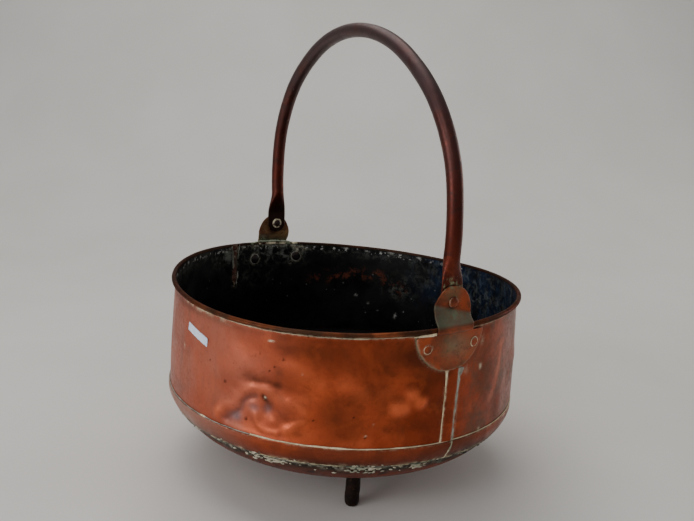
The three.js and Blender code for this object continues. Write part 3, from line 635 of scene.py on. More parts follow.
# ------------------------------------------------------------------ wall sheets
def outer_masks(th, z):
    th, z = np.broadcast_arrays(np.asarray(th, float), np.asarray(z, float))
    t = wrap(th)                      # near seam at about 0, front of the tub at about -31
    P = np.stack([226 * np.cos(np.radians(th)), 226 * np.sin(np.radians(th)), z], -1)
    nz = noise(P, 30, 21)
    tw, zw = th + 1.1 * noise(P, 17, 71) + 0.4 * noise(P, 7, 72), z + 3.2 * noise(P, 15, 73) + 1.2 * noise(P, 7, 74)
    # pinkish haze on the left of the wall: partly dust, partly a painted reflection of the light from the left
    pink_haze_and_reflection = (1 - smooth(-70, -36, t)) * smooth(-175, -120, t) * (0.75 + 0.25 * nz)
    pink_haze_and_reflection = pink_haze_and_reflection * (1 - 0.5 * smooth(-95, -125, z))
    # darker towards the right-hand side and round the back: partly tarnish, partly painted shade where the wall turns
    # from the light
    dark = 0.25 * smooth(-45, -30, t) * (1 - smooth(-30, -10, t)) + 0.54 * smooth(-24, 1, t) * (1 - smooth(120, 170, t))
    for t0, z0, sx, sz, h in ((328, -96, 20, 24, 0.5), (332, -122, 16, 14, 0.35), (337, -55, 30, 22, 0.25), (341.5, -88, 14, 26, 0.25), (345, -28, 34, 16, 0.4), (353, -52, 18, 28, 0.25), (350, -25, 26, 16, 0.3), (316, -22, 60, 12, 0.35), (331, -30, 50, 14, 0.3), (325, -18, 60, 8, 0.3), (317.6, -33.0, 30, 15, 0.6), (316.8, -63.0, 20, 14, 0.4)):
        dark = dark + blob(th, z, t0, z0, sx, sz, h)
    # lighter patches: the dark tone is lifted where the painted highlights lie, the three bumps included
    for t0, z0, sx, sz, h in ((318, -50, 20, 14, 0.5), (330, -60, 20, 16, 0.5), (319, -80, 16, 18, 0.5), (315, -38, 18, 12, 0.4), (296, -57, 30, 20, 0.3), (318, -120, 22, 10, 0.4), (336, -70, 10, 14, 0.3), (345.6, -84.6, 12, 11, 1.2), (348.9, -68.2, 9, 9, 1.1), (351.4, -79.5, 9, 10, 1.1), (333, -127, 30, 6, 0.3)):
        dark = dark - blob(th, z, t0, z0, sx, sz, h)
    # smudges, plus painted shade in the groove, the fold's crease and the dent's hollows
    smut_and_shade = 0.72 * np.exp(-(line_dist(tw, zw, GROOVE) / 7.6) ** 2) + blob(th, z, 316.7, -52.4, 24, 12, 0.3) + blob(th, z, 315.2, -70.0, 16, 6, 0.3)
    smut_and_shade = smut_and_shade + blob(th, z, 314.2, -108.5, 8, 5, 0.45) + blob(th, z, 318.0, -122.2, 6, 3.5, 0.5) + blob(th, z, 328, -100, 12, 18, 0.25)
    # darker band just under the bead
    smut_and_shade = smut_and_shade + 0.35 * np.exp(-((z + 9) / 5.0) ** 2)
    grey = 0.95 * smooth(3, 10, t) * (1 - smooth(60, 85, t)) * (0.7 + 0.3 * nz) + 0.35 * smooth(-120, -145, t)
    grey = grey + blob(th, z, 7.2, -30, 8, 30, 0.6)
    res = 0.5 * np.exp(-((z + 4.3) / 1.0) ** 2) + 0.2 * np.exp(-((z + WALL_H) / 1.0) ** 2)
    res = res + 0.5 * np.exp(-(line_dist(th, z, [(274, -4.5), (296, -6)]) / 3.0) ** 2)
    for s in (SEAM_NEAR, SEAM_FAR):
        u = np.abs(np.radians(wrap(th - s)) * 226)
        res = res + 0.6 * np.exp(-((u - SEAM_W / 2 - 0.6) / 1.1) ** 2) * (z < -44)
    for c in (0.0, 180.0):
        rho = np.hypot(np.radians(wrap(th - c)) * 228, z + 2)
        res = res + 0.3 * np.exp(-((rho - PATCH_R - 0.8) / 1.2) ** 2) * (z < -3)
    spot = 0
    for t0, z0, s in ((294.2, -78.9, 1.7), (301.8, -117.1, 1.8), (313.1, -35.3, 1.5), (310.6, -46.1, 1.2), (306.0, -33.0, 0.9), (304.6, -37.0, 0.9), (309.0, -52, 0.8), (336.5, -120, 1.1), (322, -104, 0.8), (288, -60, 0.7), (333, -96, 0.8)):
        spot = spot + blob(th, z, t0, z0, s, s * 1.1, 1.0, 0, 3)
    # the pit in the fold: painted shade in its hollow
    spot = spot + blob(th, z, 307.6, -88.2, 2.4, 3.0, 1.0, 0, 3)
    # the first blob is a painted glint on the pit's rim; the rest are pale flecks and residue
    pale = blob(th, z, 307.6, -85.9, 1.5, 1.9, 1.0, 0, 3) + blob(th, z, 309.3, -16.0, 3.6, 1.1, 0.9, -8, 3) + blob(th, z, 318.4, -49.0, 0.8, 0.8, 0.7, 0, 3)
    pale = pale + blob(th, z, 12.9, -53, 2.6, 3.4, 0.8, 12, 3) + blob(th, z, 12.6, -22, 2.4, 6, 0.35) + blob(th, z, 7.6, -27, 1.6, 9, 0.30) + blob(th, z, 15.4, -131, 2.2, 2.0, 0.6) + blob(th, z, 6.5, -52, 4, 5, 0.25) + blob(th, z, 336.5, -117.5, 1.6, 0.7, 0.6, 0, 3) + blob(th, z, 338.5, -104.5, 1.0, 0.8, 0.6)
    pale = pale + blob(th, z, 272.5, -62, 1.6, 3.0, 0.5)
    off = np.radians(wrap(th - SEAM_NEAR)) * 226 - SEAM_W / 2
    pale = pale + 0.55 * np.exp(-((off - 2.2) / 2.4) ** 2) * (z < -45) * (0.6 + 0.4 * nz)
    # ridges, bumps and patches: polished high spots with a painted highlight laid over them
    polish_and_highlight = 0.6 * np.exp(-(line_dist(tw, zw, RIDGE_A) / 6.0) ** 2) + 0.5 * np.exp(-(line_dist(tw, zw, RIDGE_B) / 3.6) ** 2) + 0.6 * np.exp(-(line_dist(tw, zw, RIDGE_C) / 4.6) ** 2)
    polish_and_highlight = polish_and_highlight + blob(th, z, 345.6, -85.4, 11.5, 10.6, 1.3, 0, 3) + blob(th, z, 348.9, -68.9, 7.6, 7.8, 1.15, 0, 3) + blob(th, z, 351.4, -80.2, 7.8, 8.4, 1.15, 0, 3)
    for t0, z0, sx, sz, h in ((291.3, -121.9, 12, 12, 0.5), (318, -50, 13, 9, 0.5), (323.5, -59, 11, 8, 0.45), (330, -57, 10, 9, 0.5), (334.5, -68, 9, 10, 0.45), (341, -68, 9, 8, 0.35), (319.5, -79, 10, 8, 0.35), (314.5, -39, 11, 7, 0.4), (296, -56, 20, 12, 0.45), (283, -78, 16, 22, 0.4), (290, -94, 18, 9, 0.5), (318.5, -122, 13, 6, 0.4), (332, -128, 14, 5, 0.4), (327, -140, 16, 5, 0.4), (299, -28, 16, 8, 0.35), (276, -30, 10, 14, 0.3), (336, -122, 10, 8, 0.3)):
        polish_and_highlight = polish_and_highlight + blob(th, z, t0, z0, sx, sz, h)
    # painted shade in the hollow below the ridge, round the pit and along the fold
    smut_and_shade = smut_and_shade + blob(th, z, 308.4, -98.1, 5.5, 7, 0.55) + blob(th, z, 307.1, -84.5, 2.4, 3.4, 0.9) + blob(th, z, 308.2, -89.8, 3, 3, 0.6) + 0.4 * np.exp(-(line_dist(tw, zw, FOLD) / 3.4) ** 2)
    # painted sheen: a light upright streak on the right-hand side, lighter and pinker, with the dark and grey taken out
    painted_sheen_streak = np.exp(-(line_dist(tw, z, [(25.8, -36.7), (23.8, -52.7), (22.4, -75.4), (19.8, -98.3)]) / 6.5) ** 2) * (0.8 + 0.4 * nz)
    polish_and_highlight = polish_and_highlight + 0.45 * painted_sheen_streak
    pink_haze_and_reflection = pink_haze_and_reflection + 0.6 * painted_sheen_streak
    dark = dark * (1 - 0.7 * painted_sheen_streak)
    grey = grey * (1 - 0.8 * painted_sheen_streak)
    # painted purple shade in the hollows of the folded dent and along the fold
    hollow_shade = blob(th, z, 304.3, -100.8, 7, 5, 0.8) + blob(th, z, 298.6, -117.2, 8, 6, 0.9) + blob(th, z, 308.4, -99.3, 5, 6, 0.7) + 0.35 * np.exp(-(line_dist(tw, zw, FOLD) / 6.0) ** 2)
    pink_haze_and_reflection = pink_haze_and_reflection + blob(th, z, 298.7, -128.2, 9, 4, 0.7) + blob(th, z, 295.8, -128.6, 6, 4, 0.4)
    cl = lambda a: np.clip(a, 0, 1)
    return dict(a_hollow_shade=cl(hollow_shade), a_polish_and_highlight=cl(polish_and_highlight), a_pink_haze_and_reflection=cl(pink_haze_and_reflection), a_dark=cl(dark), a_smut_and_shade=cl(smut_and_shade), a_grey=cl(grey), a_res=cl(res), a_spot=cl(spot), a_pale=cl(pale))


def inner_masks(th, z):
    th, z = np.broadcast_arrays(np.asarray(th, float), np.asarray(z, float))
    P = np.stack([226 * np.cos(np.radians(th)), 226 * np.sin(np.radians(th)), z], -1)
    nz = noise(P, 26, 33)
    # painted bluish reflection on the inside of the right-hand wall
    blue_reflection = smooth(129, 101, th % 360) * smooth(20, 70, th % 360) * smooth(-110, -40, z)
    rust = np.exp(-(line_dist(th, z, [(162, -57), (149.5, -46), (137, -41), (131, -53), (124, -64)]) / 9.0) ** 2) * 1.3
    lime = 0.9 * np.exp(-((z + 14) / 14) ** 2) * smooth(160, 172, th % 360) * (1 - smooth(203, 214, th % 360)) + 0.30 * np.exp(-((z + 8) / 9) ** 2)
    lime = lime + 0.6 * np.exp(-((z + 40) / 26) ** 2) * np.exp(-((wrap(th - 92) / 24) ** 2)) + blob(th, z, 127, -60, 22, 16, 0.6) + blob(th, z, 190, -50, 40, 16, 0.35)
    fleck = 0.25 + 1.2 * np.exp(-((z + 5) / 4.5) ** 2) * (0.5 + 0.5 * smooth(95, 130, th % 360))
    for t0, z0, s in ((144.4, -80.1, 2.2), (139.1, -91.7, 1.6), (127.3, -107.3, 2.6), (150, -3, 3), (140.7, -6, 4), (131.6, -5, 4), (125.3, -6, 4), (118.7, -6, 4)):
        fleck = fleck + blob(th, z, t0, z0, s, s * 0.7, 2.0)
    u = np.radians(wrap(th - 197.8)) * 226
    crust = np.exp(-(u / (4.5 + 1.5 * nz)) ** 2) * smooth(-66, -58, z) + 0.7 * np.exp(-((z + 2) / 3.5) ** 2) * smooth(166, 172, th % 360) * (1 - smooth(200, 206, th % 360))
    for _, a, drop in RIVETS:
        rho = np.hypot(np.radians(wrap(th - math.degrees(a))) * 226, z + drop)
        crust = crust + 0.9 * np.exp(-((rho - 8.0) / 1.6) ** 2)
    # pale streak above the far right-hand rivet
    crust = crust + blob(th, z, 170.3, -8.5, 4.0, 7.5, 1.6) + blob(th, z, 167.0, -8.5, 9, 2.6, 1.1) + blob(th, z, 168.5, -4.0, 12, 2.0, 0.7) + 0.5 * blob(th, z, 172.5, -30, 3, 6, 1.0)
    white = 0
    for t0, z0, sx, sz in ((144.4, -80.1, 2.2, 2.2), (139.1, -91.7, 1.7, 1.5), (127.3, -107.3, 2.4, 4.0), (135.0, -103, 1.4, 1.3), (124.0, -98, 1.2, 1.2), (131, -2.5, 6, 1.8), (119, -3.0, 4, 2.0), (150, -2.2, 5, 1.4), (141, -4, 4, 1.3), (108, -5, 3, 2.5)):
        white = white + blob(th, z, t0, z0, sx, sz, 0.9, 10, 3)
    cl = lambda a: np.clip(a, 0, 1)
    return dict(a_white=cl(white), a_blue_reflection=cl(blue_reflection), a_rust=cl(rust), a_lime=cl(lime), a_fleck=np.clip(fleck, 0, 1.5), a_crust=cl(crust))


def wall_sheet(name, a0, a1, node):
    zi = np.concatenate([np.linspace(-WALL_LAP, -8, 66), np.linspace(-6, -0.6, 5)])
    zo = np.concatenate([[-2.0, -3.4, -4.6, -6.0], np.linspace(-8, -WALL_H, 64), [-136, -WALL_LAP]])
    arc_o = np.radians(np.linspace(178, -122, 26))
    arc_i = np.radians(np.linspace(-118, 176, 16))
    n = int(round((a1 - a0) / 0.5)) + 1
    th = np.linspace(a0, a1, n)
    T = th[:, None]
    R = np.radians(T)
    Pi = np.stack([226 * np.cos(R) + 0 * arc_o[None], 226 * np.sin(R) + 0 * arc_o[None], 30 * np.cos(arc_o)[None] + 0 * R], -1)
    wob = 0.12 * noise(Pi, 22, 44) + 0.10 * noise(Pi, 60, 45)
    # inside face, bead, inside of the roll, outside face
    r_in = wall_out(zi)[None] - SHEET + dents(T, zi[None])
    bo = BEAD_R + wob
    ro_in = BEAD_MID + bo * np.cos(arc_o)[None]
    zo_in = bo * np.sin(arc_o)[None]
    ri = BEAD_MID + (BEAD_R - SHEET) * np.cos(arc_i)[None] + 0 * T
    zri = (BEAD_R - SHEET) * np.sin(arc_i)[None] + 0 * T
    r_out = wall_out(zo)[None] + dents(T, zo[None])
    rr = np.concatenate([r_in, ro_in, ri, r_out], 1)
    zz = np.concatenate([zi[None] + 0 * T, zo_in, zri, zo[None] + 0 * T], 1)
    sway = 0.35 * noise(np.stack([226 * np.cos(R), 226 * np.sin(R), 0 * R], -1), 55, 50)
    zz = zz + sway * smooth(-30, -2, zz)
    P = np.stack([rr * np.cos(R), rr * np.sin(R), zz], -1)
    m = rr.shape[1]
    k0, k1, k2 = len(zi), len(zi) + len(arc_o), len(zi) + len(arc_o) + len(arc_i)
    F = grid_faces(n, m, False, True)
    col = np.tile(np.arange(m), n - 1)
    mat = np.where(col < k0 - 1, 2, np.where(col < k2, 1, 0))
    faces = F.tolist() + [list(range(m))[::-1], [(n - 1) * m + i for i in range(m)]]
    mat = np.concatenate([mat, [1, 1]])
    fl = orient(P, faces)
    TT = np.broadcast_to(T, rr.shape)
    om, im = outer_masks(TT, zz), inner_masks(TT, zz)
    # the bead's own residue: under its lip and above the far ear
    br = 0.9 * np.exp(-((zz + 3.2) / 1.3) ** 2) * (rr > BEAD_MID - 1)
    far = (1 - smooth(9.0, 12.0, np.abs(wrap(TT - 180))))
    br = np.maximum(br, far * 0.95) * (zz > -6)
    om["a_dim"] = smooth(45, 85, np.abs(wrap(TT + 25))) + 0 * zz
    om["a_worn"] = np.clip(0.25 + 1.2 * blob(TT, 0 * zz, 16, 0, 14, 9, 1.0) + 0.9 * blob(TT, 0 * zz, 330, 0, 40, 9, 1.0), 0, 1) + 0 * zz
    om["a_res"] = np.where((np.arange(m)[None] >= k0) & (np.arange(m)[None] < k2), np.clip(br, 0, 1), om["a_res"])
    return make(name, wear(P), fl, "tub", (node,), (M_WALL, M_BEAD, M_IN), mat, {**om, **im})


wall_sheet("tub_wall_front", SEAM_FAR - 360 + 0.05, SEAM_NEAR - 0.05, "wall_sheet_front")
wall_sheet("tub_wall_back", SEAM_NEAR + 0.05, SEAM_FAR - 0.05, "wall_sheet_back")


# wire in the rolled rim
def ring_tube(name, r_mid, r, body, node, mat, n=360, k=14):
    t = np.radians(np.linspace(0, 360, n, endpoint=False))[:, None]
    a = np.radians(np.linspace(0, 360, k, endpoint=False))[None]
    P = np.stack([(r_mid + r * np.cos(a)) * np.cos(t), (r_mid + r * np.cos(a)) * np.sin(t), r * np.sin(a) + 0 * t], -1)
    return make(name, wear(P), orient(P, grid_faces(n, k, True, True).tolist()), body, (node,), (mat,))


ring_tube("rim_wire_ring", BEAD_MID, 1.4, "tub", "rim_wire", M_IRON)


# ------------------------------------------------------------------ seam strips
def seam_strip(name, angle, z_top, z_low, node):
    n, k = 130, 22
    z = np.linspace(z_low, z_top, n)[:, None]
    a = np.linspace(0, 2 * np.pi, k, endpoint=False)[None]
    edge = 0.5 * noise(np.stack([z + 0 * a, 10 * np.cos(a) + 0 * z, 10 * np.sin(a) + 0 * z], -1), 9, 61)
    sg = lambda v, p: np.sign(v) * np.abs(v) ** p
    u = (SEAM_W / 2 + edge) * sg(np.cos(a), 0.35)
    h = 0.5 + 0.5 * sg(np.sin(a), 0.5)                  # 0 at the wall, 1 outside
    h = h * (1.0 + 0.16 * noise(np.stack([z + 0 * u, u, 0 * u], -1), 14, 62))
    th = angle + np.degrees(u / 226)
    r = wall_out(z) + 0.12 + h * 1.15 + dents(th, z + 0 * u) * 1.0
    R = np.radians(th)
    P = np.stack([r * np.cos(R), r * np.sin(R), z + 0 * u], -1)
    faces = grid_faces(n, k, False, True).tolist() + [list(range(k)), [(n - 1) * k + i for i in range(k)][::-1]]
    om = outer_masks(th, z + 0 * u)
    om["a_res"] = np.clip(0.9 * np.exp(-((np.abs(u) - SEAM_W / 2) / 1.0) ** 2), 0, 1)
    om["a_grey"] = om["a_grey"] * 0.4
    om["a_dark"] = om["a_dark"] * 0.7
    return make(name, wear(P), orient(P, faces), "tub", (node,), (M_WALL,), None, om)


seam_strip("near_seam_strip", SEAM_NEAR, -PATCH_R - 0.8, -WALL_H + 0.6, "seam_strip_near")
seam_strip("far_seam_strip", SEAM_FAR, -5.5, -WALL_H + 0.6, "seam_strip_far")


# ------------------------------------------------------------------ band and pan
def ring_shape(name, prof, n, node, slot, mats, matfn=None, attrfn=None, lump=0.0, seed=0, closed=True):
    """Closed profile turned about Z, with gentle unevenness."""
    pr = np.asarray(prof, float)
    t = np.radians(np.linspace(0, 360, n, endpoint=False))[:, None]
    r, z = pr[None, :, 0] + 0 * t, pr[None, :, 1] + 0 * t
    Q = np.stack([r * np.cos(t), r * np.sin(t), z], -1)
    r = r + lump * (noise(Q, 60, seed) + 0.5 * noise(Q, 25, seed + 1)) * smooth(0, 60, r)
    P = np.stack([r * np.cos(t), r * np.sin(t), z], -1)
    f = grid_faces(n, pr.shape[0], True, True).tolist()
    th = np.degrees(t) + 0 * r
    return P, f, th, r, z


def make_band():
    zo = np.linspace(-WALL_H - 0.5, -BAND_LOW + 0.5, 40)
    ro = corner_at(zo)
    pts = [(ro[0] - 1.0, -WALL_H), (ro[0] - 0.35, -WALL_H - 0.08)] + list(zip(ro, zo)) + [(corner_at(-BAND_LOW) - 0.4, -BAND_LOW), (corner_at(-BAND_LOW) - BAND_T + 0.2, -BAND_LOW + 0.05)]
    zi = np.linspace(-BAND_LOW + 0.6, -WALL_H - 0.4, 24)
    pts += list(zip(np.minimum(corner_at(zi) - BAND_T, BASE_OUT - BAND_T), zi))
    P, f, th, r, z = ring_shape("b", pts, 720, "base_band", "band_copper", None, lump=0.35, seed=71)
    t = wrap(th)
    low = np.exp(-((z + BAND_LOW) / 3.2) ** 2)
    res = 0.25 * np.exp(-((z + WALL_H + 0.3) / 1.2) ** 2) + 0.8 * low * (0.45 + 0.45 * noise(np.stack([np.radians(th) * 226, z, 0 * z], -1), 12, 72))
    u = np.radians(wrap(th - 3.2)) * 226
    res = res + 0.9 * np.exp(-(u / 1.4) ** 2)
    # pinkish haze on the band's left: partly dust, partly a painted reflection of the light from the left
    pink_haze_and_reflection = (1 - smooth(-85, -50, t)) * smooth(-175, -120, t)
    dark = 0.45 * smooth(-15, 6, t) + 0.5 * np.exp(-((z + BAND_LOW) / 7) ** 2) + 0.3 * blob(th, -96 + 0 * z, 330, -96, 40, 30, 1)
    inner = r < corner_at(z) - 0.9
    dark = np.where(inner, 1.0, dark)
    return make("tub_band", lift(P), orient(P, f), "tub", ("base_band",), (M_BAND,), None, dict(a_res=np.clip(res, 0, 1), a_pink_haze_and_reflection=np.clip(pink_haze_and_reflection, 0, 1), a_dark=np.clip(dark, 0, 1)))


make_band()


def make_pan():
    z1 = np.linspace(-139.8, -156.5, 12)
    up = [(float(corner_at(z)) - BAND_T - 0.3, z) for z in z1]
    t0 = np.interp(157.5, -_cc[:, 1], _ct)
    outer = []
    for t in np.linspace(t0, 1.0, 46):
        r, z = corner(t)
        outer.append((r - (BAND_T + 0.3) * (1 - float(smooth(0.25, 0.6, t))), z))
    flat = [(r, -BASE_H + 0.9 * float(smooth(150, 40, r))) for r in np.linspace(152, 4, 26)]
    line = up + outer + flat
    pr = np.array(line)
    d = np.gradient(pr, axis=0)
    nrm = np.stack([d[:, 1], -d[:, 0]], -1) / np.linalg.norm(d, axis=1)[:, None]
    inner = pr + nrm * PAN_T
    inner[0] = pr[0] + [-PAN_T, 0]
    if inner[20, 0] > pr[20, 0]:
        inner = pr - nrm * PAN_T
        inner[0] = pr[0] + [-PAN_T, 0]
    loop = list(map(tuple, pr)) + list(map(tuple, inner[::-1]))
    n = 480
    t = np.radians(np.linspace(0, 360, n, endpoint=False))[:, None]
    L = np.array(loop)
    r, z = L[None, :, 0] + 0 * t, L[None, :, 1] + 0 * t
    Q = np.stack([r * np.cos(t), r * np.sin(t), z * 0.0 + 5], -1)
    bump = (0.8 * noise(Q, 70, 81) + 0.4 * noise(Q, 30, 82)) * smooth(170, 120, r)
    keep = 1 - smooth(14, 26, np.abs(np.hypot(r, 0) - FOOT_RING)) * 0
    for i in range(3):
        a = math.radians(FOOT_ANGLE + 120 * i)
        dd = np.hypot(Q[..., 0] - FOOT_RING * math.cos(a), Q[..., 1] - FOOT_RING * math.sin(a))
        bump = bump * smooth(10, 24, dd)
    P = np.stack([r * np.cos(t), r * np.sin(t), z + bump], -1)
    m = len(loop)
    f = grid_faces(n, m, True, True).tolist()
    th = np.degrees(t) + 0 * r
    half = len(pr)
    col = np.tile(np.arange(m), n)
    mat = np.where(col < half, 0, 1)
    nn = noise(np.stack([np.radians(th) * 200, z, 0 * z], -1), 11, 83)
    res = np.exp(-((z + BAND_LOW + 4) / 6.5) ** 2) * (0.55 + 0.5 * nn) * (r > 190)
    # darker just below the band's lower edge
    darker_below_band = 1.2 * np.exp(-((z + BAND_LOW + 5) / 8.0) ** 2) * (r > 180)
    inn = np.arange(m)[None] >= half
    lime = np.where(inn, 0.5 * smooth(0.0, 0.6, noise(Q, 55, 85)), 0)
    one = np.zeros_like(r)
    return make("tub_pan", lift(P), orient(P, f), "tub", ("bottom_pan",), (M_PAN, M_IN), mat, dict(a_res=np.clip(res, 0, 1), a_darker_below_band=np.clip(darker_below_band, 0, 1), a_lime=lime, a_fleck=0.6 * one, a_white=0 * one, a_blue_reflection=one, a_rust=np.clip(0.7 * smooth(0.1, 0.6, noise(Q, 60, 87)), 0, 1) * inn, a_crust=one))


make_pan()


# ------------------------------------------------------------------ ears
def tab_left(z):
    """The near tab's left edge was cut back above the bend."""
    return np.interp(z, [0, 19, 26, 28.5, 31, 35, 40, 44, 46.5, 47.7], [24.2, 25.2, 25.6, 25.2, 22.2, 20.0, 16.4, 12.2, 8.0, 3.0])


def ear_half_width(z):
    z = np.asarray(z, float)
    low = np.sqrt(np.clip(PATCH_R ** 2 - (z + 1.5) ** 2, 9, None))
    t = np.clip((z + 14) / 8.6, 0, 1)
    sh = NECK + 0.6 + (low - NECK - 0.6) * (1 - t ** 7) ** (1 / 7)
    neck = NECK + 0.4 + (TAB_R - NECK - 0.4) * smooth(2, 18, z)
    dz = np.clip((z - TAB_MID) / 25.2, 0, 1)
    top = (TAB_R) * np.sqrt(np.clip(1 - dz ** 2, 0.012, 1)) * (1 - 0.05 * np.sin(np.pi * dz))
    return np.where(z < -5.4, sh, np.where(z < TAB_MID, neck, top))


def ear(name, node, turn, greys):
    zs = np.concatenate([
        -1.5 - PATCH_R * np.sin(np.radians(np.linspace(88, 18, 34))),
        np.linspace(-14.5, -8.0, 10), np.linspace(-7.6, -5.42, 12), [-5.2, -4.6], np.linspace(-4, 4, 12), np.linspace(5.2, TAB_MID, 22),
        TAB_MID + 25.2 * np.sin(np.radians(np.linspace(4, 84, 26)))])
    n = 40
    u = np.sin(np.linspace(-1, 1, n + 1) * np.pi / 2 * 0.96) / math.sin(np.pi / 2 * 0.96)
    b = ear_half_width(zs)
    Z = zs[:, None] + 0 * u[None]
    if greys:
        b = b * np.where(zs <= -5.5, FAR_GROW, 1.0)
        Y = b[:, None] * u[None] + FAR_SHIFT * (Z <= -5.5) + 1.9 * smooth(3, 19, Z)
        bend = CREASE + 0 * Y
    else:
        bl = np.where(zs > 5, np.minimum(b, tab_left(zs)), b)
        Y = np.where(u[None] < 0, bl[:, None], b[:, None]) * u[None]
        bend = 22.7 - 0.24 * Y
    wallR = wall_out(Z) + 0.18
    beadR = BEAD_MID + BEAD_R + 0.25
    low = np.sqrt(wallR ** 2 - Y ** 2)
    rr = np.sqrt(beadR ** 2 - Y ** 2)
    k = np.clip((Z - 3.6) / (bend - 3.6), 0, 1)
    tab_in = TAB_IN + (0.7 if greys else 0.0)
    k = k + 0.05 * np.sin(np.pi * k)
    # softened crease
    X = np.where(Z <= -5.6, low, np.where(Z < -2.6, low + (rr - low) * smooth(-5.6, -2.8, Z), np.where(Z <= 3.6, rr, rr + (tab_in - rr) * k)))
    for _ in range(2):
        X[1:-1] = 0.25 * X[:-2] + 0.5 * X[1:-1] + 0.25 * X[2:]
    X = np.maximum(X, np.where(Z < -5.6, low, -1e9))
    Q = np.stack([X, Y, Z], -1)
    ham = 0.22 * noise(Q, 13, 91 + int(turn > 0)) + 0.12 * noise(Q, 6, 93)
    Xo = X + EAR_T + ham * np.where(np.abs(Z - PIVOT_Z) < 8, 0.3, 1.0)
    # rounded outline: outer face drawn in at the rim of the plate
    e = np.minimum(1, (1 - np.abs(u))[None] * b[:, None] / 1.0)
    Xo = Xo - 0.55 * (1 - e) ** 2
    Xo[0] -= 0.4
    Xo[-1] -= 0.4
    A = np.stack([X, Y, Z], -1)
    B = np.stack([Xo, Y * (1 - 0.002), Z], -1)
    rows, cols = A.shape[:2]
    P = np.concatenate([A.reshape(-1, 3), B.reshape(-1, 3)])
    N = rows * cols
    f = grid_faces(rows, cols).tolist() + grid_faces(rows, cols, flip=True, base=N).tolist()
    loop = [c for c in range(cols)] + [r * cols + cols - 1 for r in range(1, rows)] + [(rows - 1) * cols + c for c in range(cols - 2, -1, -1)] + [r * cols for r in range(rows - 2, 0, -1)]
    for i, a in enumerate(loop):
        c = loop[(i + 1) % len(loop)]
        f.append([a, a + N, c + N, c])
    zz, yy = P[:, 2], P[:, 1]
    xx = P[:, 0]
    outer = np.arange(len(P)) >= N
    nz = noise(P, 11, 95)
    cz = CREASE + 0 * yy if greys else 22.7 - 0.24 * yy
    grey = smooth(1, 7, zz) * (1 - smooth(cz - 2.5, cz + 1.0, zz)) * (0.9 + 0.2 * nz) + 0.85 * np.exp(-(((yy - 3) / 14) ** 2 + ((zz + 17) / 12) ** 2))
    dark = np.where(outer, 0.35 * smooth(8, 24, np.abs(yy)) * (zz > 0) + 0.9 * np.exp(-(((yy + 1) / 7.5) ** 2 + ((zz - 24.5) / 3.2) ** 2)) + 0.55 * np.exp(-(((yy + 3) / 9) ** 2 + ((zz - 38) / 3) ** 2)), 1.0)
    d2 = np.abs(np.hypot(yy, zz - PIVOT_Z) - 7.0)
    verd = 0.45 * np.exp(-(d2 / 2.2) ** 2) * (zz > PIVOT_Z) + 0.9 * np.exp(-((zz - 15) / 4) ** 2) * np.exp(-((yy - 2) / 9) ** 2) + 0.75 * smooth(41.0, 46.0, zz) + 0.3 * smooth(40, 45, np.hypot(yy, zz + 2)) * (zz < -6)
    res = 0.25 * smooth(43.8, 46.2, np.hypot(yy, zz + 1.5)) * (zz < -6) * (0 if greys else 1)
    for _, a_, drop in RIVETS[2:] if greys else RIVETS[:2]:
        rho = np.hypot(yy - 229 * math.sin(a_ - turn), zz + drop)
        res = res + 0.25 * np.exp(-((rho - 5.4) / 0.6) ** 2)
    if greys:                                        # far ear: inner face darker towards the top, brown below the crease
        dark = np.where(outer, dark, np.clip(0.48 * smooth(20, 28, zz) + 0.8 * np.exp(-(((yy - 4) / 9) ** 2 + ((zz - 21) / 6) ** 2)), 0, 1))
        verd = np.where(outer, verd, 0.9 * np.exp(-((zz - 6) / 2.6) ** 2) + 0.95 * np.exp(-(((yy - 17) / 6) ** 2 + ((zz - 10) / 6) ** 2)) + 0.5 * np.exp(-((yy - 22) / 3) ** 2) * (zz > 12) * (zz < 40))
    if greys:
        res = np.where(outer, res, res + 0.9 * np.exp(-(((yy - 19) / 5) ** 2 + ((zz - 9) / 6) ** 2)))
    olive = np.where(outer, 0.0, 0.95 * (1 - 0.85 * dark) * (1 - 0.9 * np.clip(res, 0, 1)) * (1 - 0.9 * np.clip(verd, 0, 1))) if greys else 0.55 * np.exp(-(((yy - 10) / 22) ** 2 + ((zz + 24) / 15) ** 2)) + 0.5 * np.exp(-(((yy + 2) / 13) ** 2 + ((zz - 40) / 7) ** 2))
    P = P.copy()
    c, s = math.cos(turn), math.sin(turn)
    P = np.stack([P[:, 0] * c - P[:, 1] * s, P[:, 0] * s + P[:, 1] * c, P[:, 2]], -1)
    return make(name, wear(P), orient(P, f), "tub", (node,), (M_EAR,), None, dict(a_grey=np.clip(grey, 0, 1), a_dark=np.clip(dark, 0, 1), a_verd=np.clip(verd, 0, 1), a_res=np.clip(res, 0, 1), a_olive=olive), sharp=50)


ear("near_ear_plate", "ear_near", 0.0, False)
ear("far_ear_plate", "ear_far", math.pi, True)


# ------------------------------------------------------------------ rivets, washers
def along_x(P, x0, z, angle):
    """Lathe points (axis Z) laid along +X at height z, then turned about Z."""
    Q = np.stack([P[:, 2] + x0, P[:, 1], -P[:, 0] + z], -1)
    c, s = math.cos(angle), math.sin(angle)
    return np.stack([Q[:, 0] * c - Q[:, 1] * s, Q[:, 0] * s + Q[:, 1] * c, Q[:, 2]], -1)


def rough_up(P, amp, size, seed):
    return P + amp * np.stack([noise(P, size, seed), noise(P, size, seed + 1), noise(P, size, seed + 2)], -1)


